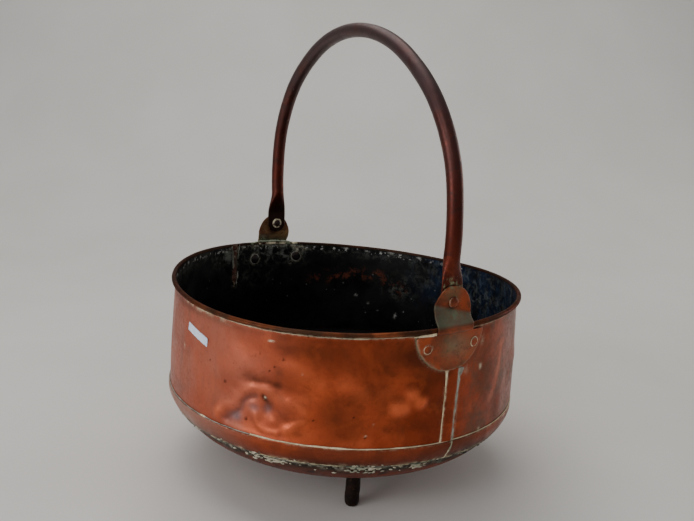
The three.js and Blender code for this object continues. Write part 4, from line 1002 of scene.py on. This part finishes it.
patch_in = float(wall_out(-RIVET_DROP)) - SHEET
patch_out = float(wall_out(-RIVET_DROP)) + 0.3 + EAR_T
for i, (nm, a, drop) in enumerate(RIVETS):
    x_in, x_out = patch_in - 0.35, patch_out + 0.05
    dome = [(6.7 * math.cos(t), x_in - 0.5 - 2.9 * math.sin(t)) for t in np.radians(np.linspace(0, 86, 14))]
    prof = [(0, x_in - 3.4)] + dome[::-1] + [(6.6, x_in - 0.15), (6.2, x_in), (3.0, x_in), (3.0, x_out), (4.4, x_out), (4.75, x_out + 0.2), (4.6, x_out + 0.5), (4.1, x_out + 0.68), (3.5, x_out + 0.58), (2.4, x_out + 0.64), (1.2, x_out + 0.76), (0, x_out + 0.8)]
    P, f = lathe(prof, 48)
    P = rough_up(P, 0.22, 3.5, 100 + 7 * i)
    rad_ = np.hypot(P[:, 0], P[:, 1])
    res = np.where(P[:, 2] > x_out - 0.3, 0.45 * smooth(3.9, 4.6, rad_), 0.0)
    dark = np.where(P[:, 2] < x_in + 1, 1.0, 0.1)
    Q = along_x(P, 0.0, -drop, a)
    make("rivet_" + nm + "_body", wear(Q), f, "tub", ("rivet_" + nm,), (M_EAR if nm.startswith("near") else M_RIVET,), None, dict(a_res=res, a_dark=dark))

flat_in, tab_out = FLAT_MID - FLAT_T, TAB_IN + EAR_T
for i, (nm, turn, pz) in enumerate((("near", 0.0, PIVOT_Z), ("far", math.pi, PIVOT_FAR))):
    x_in, x_out = flat_in - 1.55, tab_out + (0.8 if turn else 0.1)
    prof = [(0, x_in - 2.5), (1.6, x_in - 2.45), (3.2, x_in - 2.1), (4.4, x_in - 1.4), (5.0, x_in - 0.6), (5.1, x_in), (3.4, x_in), (3.4, x_out), (5.7, x_out), (6.2, x_out + 0.35), (6.1, x_out + 0.9), (5.3, x_out + 1.7), (3.9, x_out + 2.2), (2.0, x_out + 2.45), (0, x_out + 2.5)]
    P, f = lathe(prof, 48)
    P = rough_up(P, 0.25, 3.2, 140 + 9 * i)
    rad_ = np.hypot(P[:, 0], P[:, 1])
    dark = np.where(P[:, 2] < x_in + 1, 1.0, 0.3)
    res = np.where(P[:, 2] > x_out - 0.2, 0.3 * smooth(5.0, 6.1, rad_), 0.0)
    Q = along_x(P, 0.0, pz, turn)
    make("pivot_" + nm + "_body", lift(Q), f, "tub", ("pivot_rivet_" + nm,), (M_EAR if nm == "near" else M_RIVET,), None, dict(a_res=res, a_dark=dark))
    w0, w1 = flat_in - 1.45, flat_in - 0.15
    P, f = lathe([(3.6, w0 + 0.2), (3.9, w0), (6.9, w0), (7.3, w0 + 0.3), (7.35, w1 - 0.3), (7.1, w1), (3.8, w1), (3.6, w1 - 0.2)], 48, True)
    P = rough_up(P, 0.2, 4.0, 170 + i)
    Q = along_x(P, 0.0, pz, turn)
    make("washer_" + nm + "_ring", lift(Q), f, "tub", ("pivot_washer_" + nm,), (M_RIVET,), None, dict(a_res=np.full(len(P), 1.6), a_dark=np.full(len(P), 0.1)))


# ------------------------------------------------------------------ bail
BAIL = [(212.9, 15.8), (212.9, 29.2), (214.3, 55), (217.8, 110.1), (206.9, 179.4), (169.2, 242.9), (110.2, 289.2), (56.8, 310.9), (0, 318.1)]


def catmull(pts, per=400):
    """Centripetal Catmull-Rom through the points, as in the frame."""
    p = [np.array(q, float) for q in pts]
    p = [2 * p[0] - p[1]] + p + [2 * p[-1] - p[-2]]
    out = []
    for i in range(1, len(p) - 2):
        a, b, c, d = p[i - 1], p[i], p[i + 1], p[i + 2]
        t0 = 0.0
        t1 = t0 + np.linalg.norm(b - a) ** 0.5
        t2 = t1 + np.linalg.norm(c - b) ** 0.5
        t3 = t2 + np.linalg.norm(d - c) ** 0.5
        t = np.linspace(t1, t2, per, endpoint=(i == len(p) - 3))[:, None]
        A1 = (t1 - t) / (t1 - t0) * a + (t - t0) / (t1 - t0) * b
        A2 = (t2 - t) / (t2 - t1) * b + (t - t1) / (t2 - t1) * c
        A3 = (t3 - t) / (t3 - t2) * c + (t - t2) / (t3 - t2) * d
        B1 = (t2 - t) / (t2 - t0) * A1 + (t - t0) / (t2 - t0) * A2
        B2 = (t3 - t) / (t3 - t1) * A2 + (t - t1) / (t3 - t1) * A3
        out.append((t2 - t) / (t2 - t1) * B1 + (t - t1) / (t2 - t1) * B2)
    return np.vstack(out)


def make_bail():
    pts = BAIL + [(-x, z + (PIVOT_FAR - PIVOT_Z if z < 40 else 0)) for x, z in BAIL[-2::-1]]
    C = catmull(pts)
    s = np.concatenate([[0], np.cumsum(np.linalg.norm(np.diff(C, axis=0), axis=1))])
    L = s[-1]
    st = np.concatenate([np.linspace(0, 8, 14), np.linspace(8.8, 80, 60), np.linspace(82, L - 82, 300), np.linspace(L - 80, L - 8.8, 60), np.linspace(L - 8, L, 14)])
    x, z = np.interp(st, s, C[:, 0]), np.interp(st, s, C[:, 1])
    for _ in range(6):                                   # ease the sampled curve
        x[1:-1] = 0.25 * x[:-2] + 0.5 * x[1:-1] + 0.25 * x[2:]
        z[1:-1] = 0.25 * z[:-2] + 0.5 * z[1:-1] + 0.25 * z[2:]
    tx, tz = np.gradient(x, st), np.gradient(z, st)
    ln = np.hypot(tx, tz)
    tx, tz = tx / ln, tz / ln
    ox, oz = tz, -tx
    flip = np.sign(x * ox + 1e-9)                        # outward
    n = 40
    a = np.linspace(0, 2 * np.pi, n, endpoint=False)[None]
    end = np.where(st < L / 2, 1.0, -1.0)[:, None]
    h = (z - np.where(st < L / 2, PIVOT_Z, PIVOT_FAR))[:, None]
    f = 1 - smooth(15, 50, h)
    f = f + 0.25 * f * (1 - f)
    lo = np.maximum(0, -h)
    hw = np.sqrt(np.maximum(14, FLAT_W ** 2 - lo ** 2))
    sg = lambda v, p: np.sign(v) * np.abs(v) ** p
    shells = []
    Pc = np.stack([x, 0 * x, z], -1)
    wob = (0.12 * noise(Pc, 30, 201) + 0.05 * noise(Pc, 9, 202))[:, None]
    bend = (0.5 * noise(Pc, 120, 203))[:, None] * smooth(40, 90, h)     # a hand-bent arch is never quite in one plane
    flatten = 0.35 * smooth(285, 312, z)[:, None]
    for inner in (0, 1):
        r = TUBE_R - TUBE_T * inner + wob
        ca, sa = np.cos(a), np.sin(a)
        O = ox[:, None], oz[:, None]
        rx = x[:, None] + O[0] * (r - flatten) * ca
        ry = (r + flatten) * sa + bend
        rz = z[:, None] + O[1] * (r - flatten) * ca
        W = hw - TUBE_T * inner
        T = SLIT / 2 if inner else FLAT_T
        side = np.where(ox[:, None] * end > 0, 1.0, -1.0)
        fx = end * (FLAT_MID + side * T * sg(ca, 0.42))
        fy = W * sg(sa, 0.8)
        if not inner:
            dent = 0.30 * noise(np.stack([fx, fy, z[:, None] + 0 * fx], -1), 7, 210) * smooth(-16, -10, h)
            fx = fx - end * np.abs(dent) * (side * ca < 0)
        shells.append(np.stack([rx + (fx - rx) * f, ry + (fy - ry) * f, rz + (z[:, None] - rz) * f], -1))
    A, B = shells
    m = len(st)
    P = np.concatenate([A.reshape(-1, 3), B.reshape(-1, 3)])
    N = m * n
    F = grid_faces(m, n, False, True).tolist() + grid_faces(m, n, False, True, flip=True, base=N).tolist()
    for row, fl in ((0, True), (m - 1, False)):
        for c in range(n):
            q = [row * n + c, row * n + (c + 1) % n, N + row * n + (c + 1) % n, N + row * n + c]
            F.append(q[::-1] if fl else q)
    F = orient(P, F)
    zz = P[:, 2]
    inn = np.arange(len(P)) >= N
    far = P[:, 0] < 0
    dark = np.where(far, 0.9 * smooth(85, 50, zz) + 0.2 * smooth(220, 60, zz), 0.25 * smooth(60, 30, zz))
    dark = np.where(inn, 1.0, dark)
    rho = np.hypot(P[:, 1] + 1.0, zz - PIVOT_Z)
    res = (1.3 * np.exp(-((rho - 21.2) / 1.8) ** 2) + 0.6 * np.exp(-((rho - 26) / 1.6) ** 2) * (P[:, 1] < 4)) * (~far) * (zz > 40) * (np.abs(P[:, 1]) < 13) + 0.3 * (zz < 24)
    # painted sky reflection, stronger towards the top of the arch
    painted_sky_reflection = smooth(100, 290, zz) * 0.95
    mid = (PIVOT_Z + PIVOT_FAR) / 2
    hinge = Vector((2 * FLAT_MID, 0, PIVOT_Z - PIVOT_FAR)).normalized()
    M = np.array(Matrix.Rotation(LEAN, 3, hinge))
    P = (P - [0, 0, mid]) @ M.T + [0, 0, mid]
    return make("bail_tube", lift(P), F, "bail", ("bail_handle",), (M_BAIL,), None, dict(a_dark=np.clip(dark, 0, 1), a_res=np.clip(res, 0, 1), a_painted_sky_reflection=np.clip(painted_sky_reflection, 0, 1)), sharp=55)


make_bail()


# ------------------------------------------------------------------ feet
for i in range(3):
    a = math.radians(FOOT_ANGLE + 120 * i)
    fb, ft, top = -RIM_Z, -BASE_H - 0.3, -BASE_H + PAN_T
    prof = [(0, fb), (4.9, fb), (6.0, fb + 0.25), (7.4, fb + 1.2), (8.4, fb + 3.0), (8.9, fb + 5.6), (9.0, fb + 9), (8.75, fb + 20), (8.8, fb + 32), (9.05, ft - 6), (9.05, ft - 0.9), (8.3, ft), (4.0, ft), (4.0, top + 2.0), (6.8, top + 2.0), (7.0, top + 2.6), (6.2, top + 3.8), (3.6, top + 4.9), (0, top + 5.2)]
    pr = round_profile(prof[1:-1], 0.5, 3)
    fine = [(0, fb)]
    for p, q in zip(pr[:-1], pr[1:]):
        k = max(1, int(np.linalg.norm(q - p) / 1.6))
        fine += [tuple(p + (q - p) * j / k) for j in range(k)]
    fine += [tuple(pr[-1]), (0, top + 5.2)]
    P, f = lathe(fine, 56)
    Pn = rough_up(P, 0.42, 8, 300 + 11 * i)
    Pn = rough_up(Pn, 0.16, 3, 302 + 11 * i)
    w = (smooth(fb, fb + 3, P[:, 2]) * (np.hypot(P[:, 0], P[:, 1]) > 4.2) * (P[:, 2] < ft + 0.1))[:, None]
    P = P * (1 - w) + Pn * w
    P = P + [FOOT_RING * math.cos(a), FOOT_RING * math.sin(a), 0]
    make("peg_foot_%d" % (i + 1), lift(P), f, "tub", ("foot_%d" % (i + 1),), (M_IRON,))
    z0 = -BASE_H + PAN_T + 0.25
    P, f = lathe([(4.3, z0 + 0.2), (4.6, z0), (9.6, z0), (10, z0 + 0.4), (9.9, z0 + 1.2), (9.4, z0 + 1.5), (4.6, z0 + 1.5), (4.3, z0 + 1.3)], 48, True)
    P = rough_up(P, 0.18, 5, 330 + i) + [FOOT_RING * math.cos(a), FOOT_RING * math.sin(a), 0]
    make("foot_ring_%d" % (i + 1), lift(P), f, "tub", ("foot_washer_%d" % (i + 1),), (M_RIVET,), None, dict(a_res=np.full(len(P), 0.3), a_dark=np.full(len(P), 0.9)))


# ------------------------------------------------------------------ label
def make_label():
    w, hgt, n, k = 45.0, 10.5, 60, 16
    u = np.linspace(-w / 2, w / 2, n)[:, None]
    v = np.linspace(-hgt / 2, hgt / 2, k)[None]
    c, s = math.cos(math.radians(-10)), math.sin(math.radians(-10))
    U = u * c - v * s
    V = u * s + v * c - 37.3
    th = 280.8 + np.degrees(U / 226.5)
    curl = 0.8 * smooth(w / 2 - 5, w / 2, np.abs(u)) ** 2 * smooth(-2, hgt / 2, v) * (u > 0)
    r0 = wall_out(V) + dents(th, V) + 0.10
    sh = []
    for off in (0.0, 0.16):
        r = r0 + off + curl + 0.04 * noise(np.stack([U, V, 0 * U], -1), 6, 401)
        R = np.radians(th)
        sh.append(np.stack([r * np.cos(R), r * np.sin(R), V], -1).reshape(-1, 3))
    N = n * k
    P = np.concatenate(sh)
    f = grid_faces(n, k).tolist() + grid_faces(n, k, flip=True, base=N).tolist()
    loop = list(range(k)) + [i * k + k - 1 for i in range(1, n)] + [(n - 1) * k + j for j in range(k - 2, -1, -1)] + [i * k for i in range(n - 2, 0, -1)]
    for i, a in enumerate(loop):
        b = loop[(i + 1) % len(loop)]
        f.append([a, a + N, b + N, b])
    e = np.broadcast_to(np.maximum(smooth(w / 2 - 1.6, w / 2, np.abs(u)), smooth(hgt / 2 - 1.2, hgt / 2, np.abs(v))), (n, k)).ravel()
    make("blank_label", wear(P), orient(P, f), "tub", ("paper_label",), (M_PAPER,), None, dict(a_edge=np.concatenate([e, e])))


make_label()


# ------------------------------------------------------------------ residue beads
def bead_strip(name, pts, nrm, width, height, mat, lifted=False, k=9, sink=0.25):
    """A low uneven ridge along a path; pts and nrm are (n, 3), widths and heights (n,)."""
    pts, nrm = np.asarray(pts, float), np.asarray(nrm, float)
    tan = np.gradient(pts, axis=0)
    tan /= np.linalg.norm(tan, axis=1)[:, None]
    nrm = nrm - (nrm * tan).sum(1)[:, None] * tan
    nrm /= np.linalg.norm(nrm, axis=1)[:, None]
    side = np.cross(tan, nrm)
    a = np.linspace(0, 2 * np.pi, k, endpoint=False)[None]
    ca, sa = np.cos(a), np.sin(a)
    up = np.where(sa > 0, sa, sa * 0.4) * np.asarray(height)[:, None] - sink * 0
    P = pts[:, None] + side[:, None] * (ca * np.asarray(width)[:, None] / 2)[..., None] + nrm[:, None] * up[..., None]
    P = P + 0.07 * noise(P, 2.2, 501)[..., None] * nrm[:, None]
    n = len(pts)
    f = grid_faces(n, k, False, True).tolist() + [list(range(k)), [(n - 1) * k + i for i in range(k)][::-1]]
    Q = P.reshape(-1, 3)
    return make(name, lift(Q) if lifted else wear(Q), orient(Q, f), "tub", (), (mat,), sharp=60)


def radial(th, r, z):
    R = np.radians(th)
    return np.stack([r * np.cos(R), r * np.sin(R), z + 0 * R], -1), np.stack([np.cos(R), np.sin(R), 0 * R], -1)


def patchy(s, size, seed, lo=-0.2, hi=0.5):
    """0..1 along a path of length s, broken into runs."""
    q = np.stack([s, 0 * s, 0 * s], -1)
    return smooth(lo, hi, noise(q, size, seed) * 0.8 + noise(q, size / 4, seed + 1) * 0.45)


# under the rolled bead
th = np.arange(-161, 361 - 161, 0.35)
s = np.radians(th) * 226
near = 1 - smooth(30, 75, np.abs(wrap(th - 335)))
amt = np.clip(0.25 + 0.75 * patchy(s, 60, 601), 0, 1) * (0.35 + 0.65 * near)
ears_off = smooth(10.2, 11.5, np.abs(wrap(th))) * smooth(10.2, 11.5, np.abs(wrap(th - 180)))
z = -4.1 + 0.35 * noise(np.stack([s, 0 * s, 0 * s], -1), 15, 603)
P, N = radial(th, wall_out(z) + 0.1, z)
bead_strip("residue_rim", P, N, (0.4 + 1.2 * amt) * (0.1 + 0.9 * ears_off), (0.12 + 0.4 * amt) * (0.1 + 0.9 * ears_off), M_RES)

# along the band's upper edge
amt = np.clip(0.45 + 0.55 * patchy(s, 70, 611), 0, 1)
z = -WALL_H + 0.55 + 0.25 * noise(np.stack([s, 0 * s, 0 * s], -1), 12, 613)
P, N = radial(th, OUT_LOW + 0.5 + dents(th, z), z)
tt = wrap(th)
cut = (tt > -56.4) & (tt < 100)
# painted glint: at one spot on the left the band-top strips are made thicker and brighter
grey = 0.75 * np.exp(-((tt + 74.8) / 1.7) ** 2)
painted_glint = 1.1 * np.exp(-((tt + 74.8) / 1.5) ** 2)
for nm, use, mt, fat in (("front", cut, M_RING, amt), ("back", ~cut, M_GREY, 0.30 * amt + grey), ("left", np.abs(tt + 74.8) < 3.0, M_RING, painted_glint)):
    k = np.flatnonzero(use)
    if nm == "back":
        k = k[np.argsort(th[k] % 360)]
    bead_strip("residue_band_top_" + nm, P[k], N[k], 0.6 + 1.7 * fat[k], 0.45 + 0.55 * fat[k], mt, True)

# crusted lower joint
amt = np.clip(0.15 + 0.85 * patchy(s, 22, 621), 0, 1)
z = -BAND_LOW - 0.9 + 0.7 * noise(np.stack([s, 0 * s, 0 * s], -1), 9, 623)
P, N = radial(th, corner_at(z) - 0.9, z)
N = N + np.array([0, 0, -0.45])
bead_strip("crust_lower_joint", P, N, 1.2 + 2.6 * amt, 0.3 + 0.8 * amt, M_CRUST, True)
amt = np.clip(patchy(s, 17, 627, 0.0, 0.5), 0, 1) * (0.35 + 0.65 * near)
z = -BAND_LOW - 0.2 + 0.5 * noise(np.stack([s, 0 * s, 0 * s], -1), 6, 629)
P, N = radial(th, corner_at(z) - 0.4, z)
bead_strip("residue_lower_joint", P, N + np.array([0, 0, -0.3]), 0.15 + 1.9 * amt, 0.1 + 0.8 * amt, M_EDGE, True)


def chips(name, count, seed, t_lo, t_hi, z_mid, z_sig, size, mat):
    """Flakes of scale stuck on the lower joint."""
    rng = np.random.default_rng(seed)
    V, F = [], []
    cand = rng.uniform(t_lo, t_hi, 6 * count)
    q = np.stack([cand * 4, 0 * cand, 0 * cand + seed], -1)
    keep = cand[rng.uniform(0, 1, len(cand)) < 0.06 + 0.94 * smooth(-0.15, 0.45, noise(q, 13, 720))][:count]
    for t0 in keep:
        z0 = z_mid + rng.normal(0, z_sig)
        fat = rng.lognormal(-0.15, 0.45)
        a, b = rng.uniform(0.5, 1.0) * size * 1.6 * fat, rng.uniform(0.35, 0.8) * size * fat
        rot = rng.uniform(-0.6, 0.6)
        m = 9
        base = len(V)
        ang = np.linspace(0, 2 * np.pi, m, endpoint=False)
        jag = 1 + 0.35 * rng.uniform(-1, 1, m)
        hgt = rng.uniform(0.5, 1.2)
        for lvl, (sc, hh) in enumerate(((1.0, -0.4), (0.92, 0.55 * hgt), (0.5, hgt))):
            u = a * sc * jag * np.cos(ang)
            v = b * sc * jag * np.sin(ang)
            uu, vv = u * math.cos(rot) - v * math.sin(rot), u * math.sin(rot) + v * math.cos(rot)
            zz = z0 + vv
            rr = corner_at(zz) - (1.6 if z0 < -BAND_LOW - 1 else 0.2) * smooth(-170, -156, zz) + hh
            R = np.radians(t0) + uu / 226
            for q in np.stack([rr * np.cos(R), rr * np.sin(R), zz], -1):
                V.append(q)
        for lvl in range(2):
            for k in range(m):
                F.append([base + lvl * m + k, base + lvl * m + (k + 1) % m, base + (lvl + 1) * m + (k + 1) % m, base + (lvl + 1) * m + k])
        F.append([base + 2 * m + k for k in range(m)])
        F.append([base + k for k in range(m)][::-1])
    return make(name, lift(np.array(V)), F, "tub", (), (mat,), sharp=25)


chips("flakes_front", 125, 5, 300, 357, -BAND_LOW - 6.0, 3.4, 1.7, M_FLAKE)
chips("flakes_left", 34, 8, 268, 306, -BAND_LOW - 3.2, 2.2, 1.6, M_FLAKE)
chips("flakes_back", 150, 6, -2, 268, -BAND_LOW - 2.6, 2.0, 1.1, M_FLAKE)
chips("scale_dark", 150, 9, 0, 360, -BAND_LOW - 4.0, 3.0, 1.9, M_CRUST)


# both sides of the near seam
def seam_beads(tag, angle, z_top, z_low, w_left, w_right, mats, wide_top):
    z = np.linspace(z_top, z_low, 170)
    for side_, w, mt in ((-1, w_left, mats[0]), (1, w_right, mats[1])):
        off = side_ * (SEAM_W / 2 + 0.35)
        wander = 0.35 * noise(np.stack([z, 0 * z + side_ * 9, 0 * z], -1), 14, 631)
        th_ = angle + np.degrees((off + wander) / 226)
        amt_ = 0.45 + 0.55 * patchy(z, 26, 640 + side_)
        widen = 1 + wide_top * np.exp(-(z_top - z) / 9.0)
        P, N = radial(th_, wall_out(z) + dents(th_, z) + 0.25, z)
        bead_strip("residue_seam_%s_%s" % (tag, "l" if side_ < 0 else "r"), P, N, w * amt_ * widen, 0.35 + 0.55 * amt_, mt)


seam_beads("near", SEAM_NEAR, -PATCH_R - 1.5, -WALL_H + 0.5, 1.6, 5.4, (M_RING, M_GREY), 2.6)
seam_beads("far", SEAM_FAR, -6, -WALL_H + 0.5, 1.7, 1.7, (M_RES, M_RES), 0.0)

# the joint carried on down the band
z = np.linspace(-WALL_H + 0.4, -BAND_LOW - 0.6, 50)
th_ = 3.5 - 0.9 * smooth(-WALL_H, -BAND_LOW, z) * 1.0 + np.degrees(0.3 * noise(np.stack([z, 0 * z, 0 * z], -1), 8, 651) / 226)
P, N = radial(th_, corner_at(z) + 0.15, z)
bead_strip("residue_band_joint", P, N, 1.5 + 0.9 * patchy(z, 8, 653), 0.45 + 0 * z, M_RES, True)


# round the ears' patches, and between patch and bead
def patch_edge(tag, centre, weight_left, weight_right, grow=1.0, shift=0.0):
    a = np.radians(np.linspace(186, 354, 260))
    y = (PATCH_R * grow + 0.5) * np.cos(a) + shift
    z = (PATCH_R + 0.5) * np.sin(a) - 1.5
    z = np.minimum(z, -6.4)
    left = smooth(-0.35, 0.35, -np.cos(a))
    amt_ = (weight_left * left + weight_right * (1 - left)) * (0.4 + 0.6 * patchy(np.degrees(a) * 0.8, 16, 660))
    th_ = centre + np.degrees(y / 227.5)
    P, N = radial(th_, wall_out(z) + dents(th_, z) + 0.2, z)
    bead_strip("residue_ear_" + tag, P, N, 0.35 + 0.75 * amt_, 0.25 + 0.45 * amt_, M_EDGE)


patch_edge("near", 0.0, 1.0, 0.35)
patch_edge("far", 180.0, 0.6, 0.5, FAR_GROW, FAR_SHIFT)

for tag, centre, ends in (("near", 0.0, ((-12.2, -5.9, 2.9),)), ("far", 180.0, ((-11.4, -6.2, 1.6), (6.2, 11.4, 2.2)))):
    for j, (t0, t1, w) in enumerate(ends):
        tt = np.linspace(centre + t0, centre + t1, 60)
        z = -4.4 + 0.3 * noise(np.stack([tt * 4, 0 * tt, 0 * tt], -1), 9, 670 + j)
        fat = w * (0.5 + 0.5 * patchy(tt * 4, 10, 675 + j)) * np.sin(np.linspace(0.25, 2.9, 60)) ** 0.5
        rr_ = wall_out(z) + 1.1
        if tag == "near" and j == 0:
            q_ = np.linspace(0, 1, 60)
            z = z + 2.6 * q_ ** 1.5
            rr_ = rr_ + 2.6 * q_ ** 1.5
            fat = (0.7 + 4.3 * q_ ** 0.8) * (0.8 + 0.2 * patchy(tt * 4, 8, 675)) * np.where(q_ > 0.96, (1 - q_) / 0.04 * 0.7 + 0.3, 1)
        P, N = radial(tt, rr_, z)
        N = N + np.array([0, 0, 0.5])
        bead_strip("residue_neck_%s_%d" % (tag, j), P, N, 0.5 + fat, 0.4 + 0.28 * fat, M_RING)


# pale deposit standing between the far ear's neck and the rim
def neck_deposit(tag, centre, t0, t1, height, mat):
    tt = np.linspace(centre + t0, centre + t1, 110)
    q = np.stack([tt * 4, 0 * tt, 0 * tt], -1)
    z = 3.3 + 0.5 * noise(q, 7, 681)
    P, N = radial(tt, BEAD_MID + 0.6, z)
    N = N * 0.25 + np.array([0, 0, 1.0])
    fat = height * (0.45 + 0.55 * patchy(tt * 4, 9, 683)) * np.sin(np.linspace(0.3, 2.85, 110)) ** 0.6
    bead_strip("deposit_neck_" + tag, P, N, 2.2 + 1.4 * fat, fat, mat)


neck_deposit("far", 180.0, -7.2, 7.6, 2.3, M_VERDI)


# rings of residue round the rivets
def rivet_ring(tag, a, drop, x, r, w, h, gap, mat, seed):
    p = np.linspace(gap[0], gap[1], 90)
    wob_ = 0.25 * noise(np.stack([np.degrees(p) / 10, 0 * p + seed, 0 * p], -1), 2.2, seed)
    y, zz = (r + wob_) * np.cos(p), (r + wob_) * np.sin(p)
    sagx = np.sqrt(np.maximum(0, x * x - y * y)) if x > 0 else x
    Q = np.stack([sagx, y, zz - drop], -1)
    c, s_ = math.cos(a), math.sin(a)
    Q = np.stack([Q[:, 0] * c - Q[:, 1] * s_, Q[:, 0] * s_ + Q[:, 1] * c, Q[:, 2]], -1)
    n0 = np.tile([c, s_, 0.0], (len(p), 1)) * (1 if h > 0 else -1)
    amt_ = 0.5 + 0.5 * patchy(np.degrees(p) / 6, 9, seed + 1)
    bead_strip("ring_" + tag, Q, n0, w * amt_, abs(h) * amt_, mat)


for i, (nm, a, drop) in enumerate(RIVETS):
    gap = ((2.15, 7.3), (-1.2, 4.4), (0, 6.0), (0.4, 6.2))[i]
    rivet_ring("out_" + nm, a, drop, patch_out + 0.1, (4.6, 5.3, 5.3, 5.3)[i], 1.3, 0.5, gap, M_RING, 700 + i)
    rivet_ring("in_" + nm, a, drop, patch_in - 0.1, 7.4, 1.7, -0.6, (0.2 + i, 6.2 + i), M_SCALE, 720 + i)


# rough scale down the inside of the far seam
z = np.linspace(2.0, -61, 120)
q = np.stack([z, 0 * z, 0 * z], -1)
th_ = 197.9 + np.degrees(1.4 * noise(q, 14, 741) / 226)
P, N = radial(th_, wall_out(z) - SHEET + dents(th_, z) - 0.2, z)
amt = 0.5 + 0.5 * patchy(z, 12, 743)
bead_strip("scale_inside_seam", P, -N, (4.0 + 6.0 * amt) * smooth(-62, -50, z) + 0.5, 0.4 + 1.6 * amt, M_RUST, k=17)
for j, (dt, z0, z1) in enumerate(((-1.7, 1.5, -20), (1.5, 0.5, -33), (-0.9, -38, -60), (0.5, 1.0, -14), (0.2, -44, -61))):
    z = np.linspace(z0, z1, 70)
    q = np.stack([z, 0 * z + j * 5, 0 * z], -1)
    th_ = 197.9 + dt + np.degrees(2.6 * noise(q, 11, 751 + j) / 226)
    P, N = radial(th_, wall_out(z) - SHEET + dents(th_, z) - 0.15, z)
    amt = 0.4 + 0.6 * patchy(z, 9, 753 + j)
    bead_strip("lime_inside_seam_%d" % j, P, -N, (0.4 + 2.2 * amt) * np.sin(np.linspace(0.15, 3.0, 70)) ** 0.5, 0.5 + 1.1 * amt, M_SCALE)


# ------------------------------------------------------------------ stage, lights, camera
def stage_material():
    m = Mat("pale_backdrop")
    a = m.noise(3.0, 3, 0.5)
    c = m.mix(m.step(a, 0.3, 0.7), (0.74, 0.715, 0.675), (0.78, 0.755, 0.715))
    return m.out(c, 0.85, 0.0)


def make_stage():
    # floor with a wide curve up into the backdrop behind the object
    back = np.array([-0.8342, 0.5072])
    back /= np.linalg.norm(back)
    side = np.array([-back[1], back[0]])
    prof = [(-4.0, 0.0), (1.0, 0.0)]
    for t in np.radians(np.linspace(0, 90, 28)):
        prof.append((1.0 + 1.2 * math.sin(t), 1.2 - 1.2 * math.cos(t)))
    prof.append((2.2, 4.5))
    V, F = [], []
    for d, h in prof:
        for w in (-5.0, 5.0):
            V.append([back[0] * d + side[0] * w, back[1] * d + side[1] * w, h])
    for i in range(len(prof) - 1):
        F.append([2 * i, 2 * i + 1, 2 * i + 3, 2 * i + 2])
    me = bpy.data.meshes.new("backdrop")
    me.from_pydata(V, [], F)
    me.shade_smooth()
    me.materials.append(stage_material())
    me.update()
    o = bpy.data.objects.new("backdrop", me)
    bpy.context.scene.collection.objects.link(o)
    if me.polygons[0].normal.z < 0:
        me.flip_normals()


make_stage()


def area(name, loc, target, size, size_y, power, color):
    ld = bpy.data.lights.new(name, "AREA")
    ld.shape = "RECTANGLE"
    ld.size, ld.size_y = size, size_y
    ld.energy = power
    ld.color = color
    o = bpy.data.objects.new(name, ld)
    bpy.context.scene.collection.objects.link(o)
    o.location = loc
    o.rotation_euler = (Vector(target) - Vector(loc)).to_track_quat("-Z", "Y").to_euler()
    return o


FW = np.array([-0.8342, 0.5072, -0.2166])
RT = np.array([0.5063, 0.8600, 0.0637])
UP = np.array([-0.2186, 0.0565, 0.9742])
CAM = np.array([3.7872, -2.3089, 1.0950]) * 0.228 + np.array([0, 0, 0.2453])


def spot_at(right, toward, up):
    """A place given by steps to the camera's right, towards the camera, and up."""
    r = np.array([0.5074, 0.8617, 0.0])
    b = np.array([0.8542, -0.5199, 0.0])
    return tuple(r * right + b * toward + np.array([0, 0, up]))


area("soft_top", spot_at(-0.5, -0.5, 2.3), (0, 0, 0.2), 2.0, 1.8, 27, (1.0, 0.985, 0.96))
area("soft_left", spot_at(-1.65, 1.4, 0.62), (0, 0, 0.2), 1.2, 1.1, 19, (0.95, 0.97, 1.0))
area("soft_front", spot_at(-0.9, 2.0, 1.9), (0, 0, 0.2), 1.4, 1.0, 9, (1.0, 0.98, 0.95))
area("strip_right", spot_at(1.95, -1.1, 0.65), (0, 0, 0.2), 0.4, 1.1, 8, (1.0, 0.97, 0.93))

world = bpy.data.worlds.new("studio")
bpy.context.scene.world = world
world.use_nodes = True
bg = world.node_tree.nodes["Background"]
bg.inputs[0].default_value = (0.86, 0.88, 0.92, 1)
bg.inputs[1].default_value = 0.30

cam_data = bpy.data.cameras.new("camera")
cam_data.sensor_width = 36.0
cam_data.sensor_fit = "HORIZONTAL"
cam_data.lens = 784.32 * 36.0 / 694.0
cam_data.clip_start, cam_data.clip_end = 0.05, 50
cam = bpy.data.objects.new("camera", cam_data)
bpy.context.scene.collection.objects.link(cam)
f_ = FW / np.linalg.norm(FW)
r_ = RT - np.dot(RT, f_) * f_
r_ /= np.linalg.norm(r_)
u_ = np.cross(r_, f_)
cam.matrix_world = Matrix(((r_[0], u_[0], -f_[0], CAM[0]), (r_[1], u_[1], -f_[1], CAM[1]), (r_[2], u_[2], -f_[2], CAM[2]), (0, 0, 0, 1)))
bpy.context.scene.camera = cam
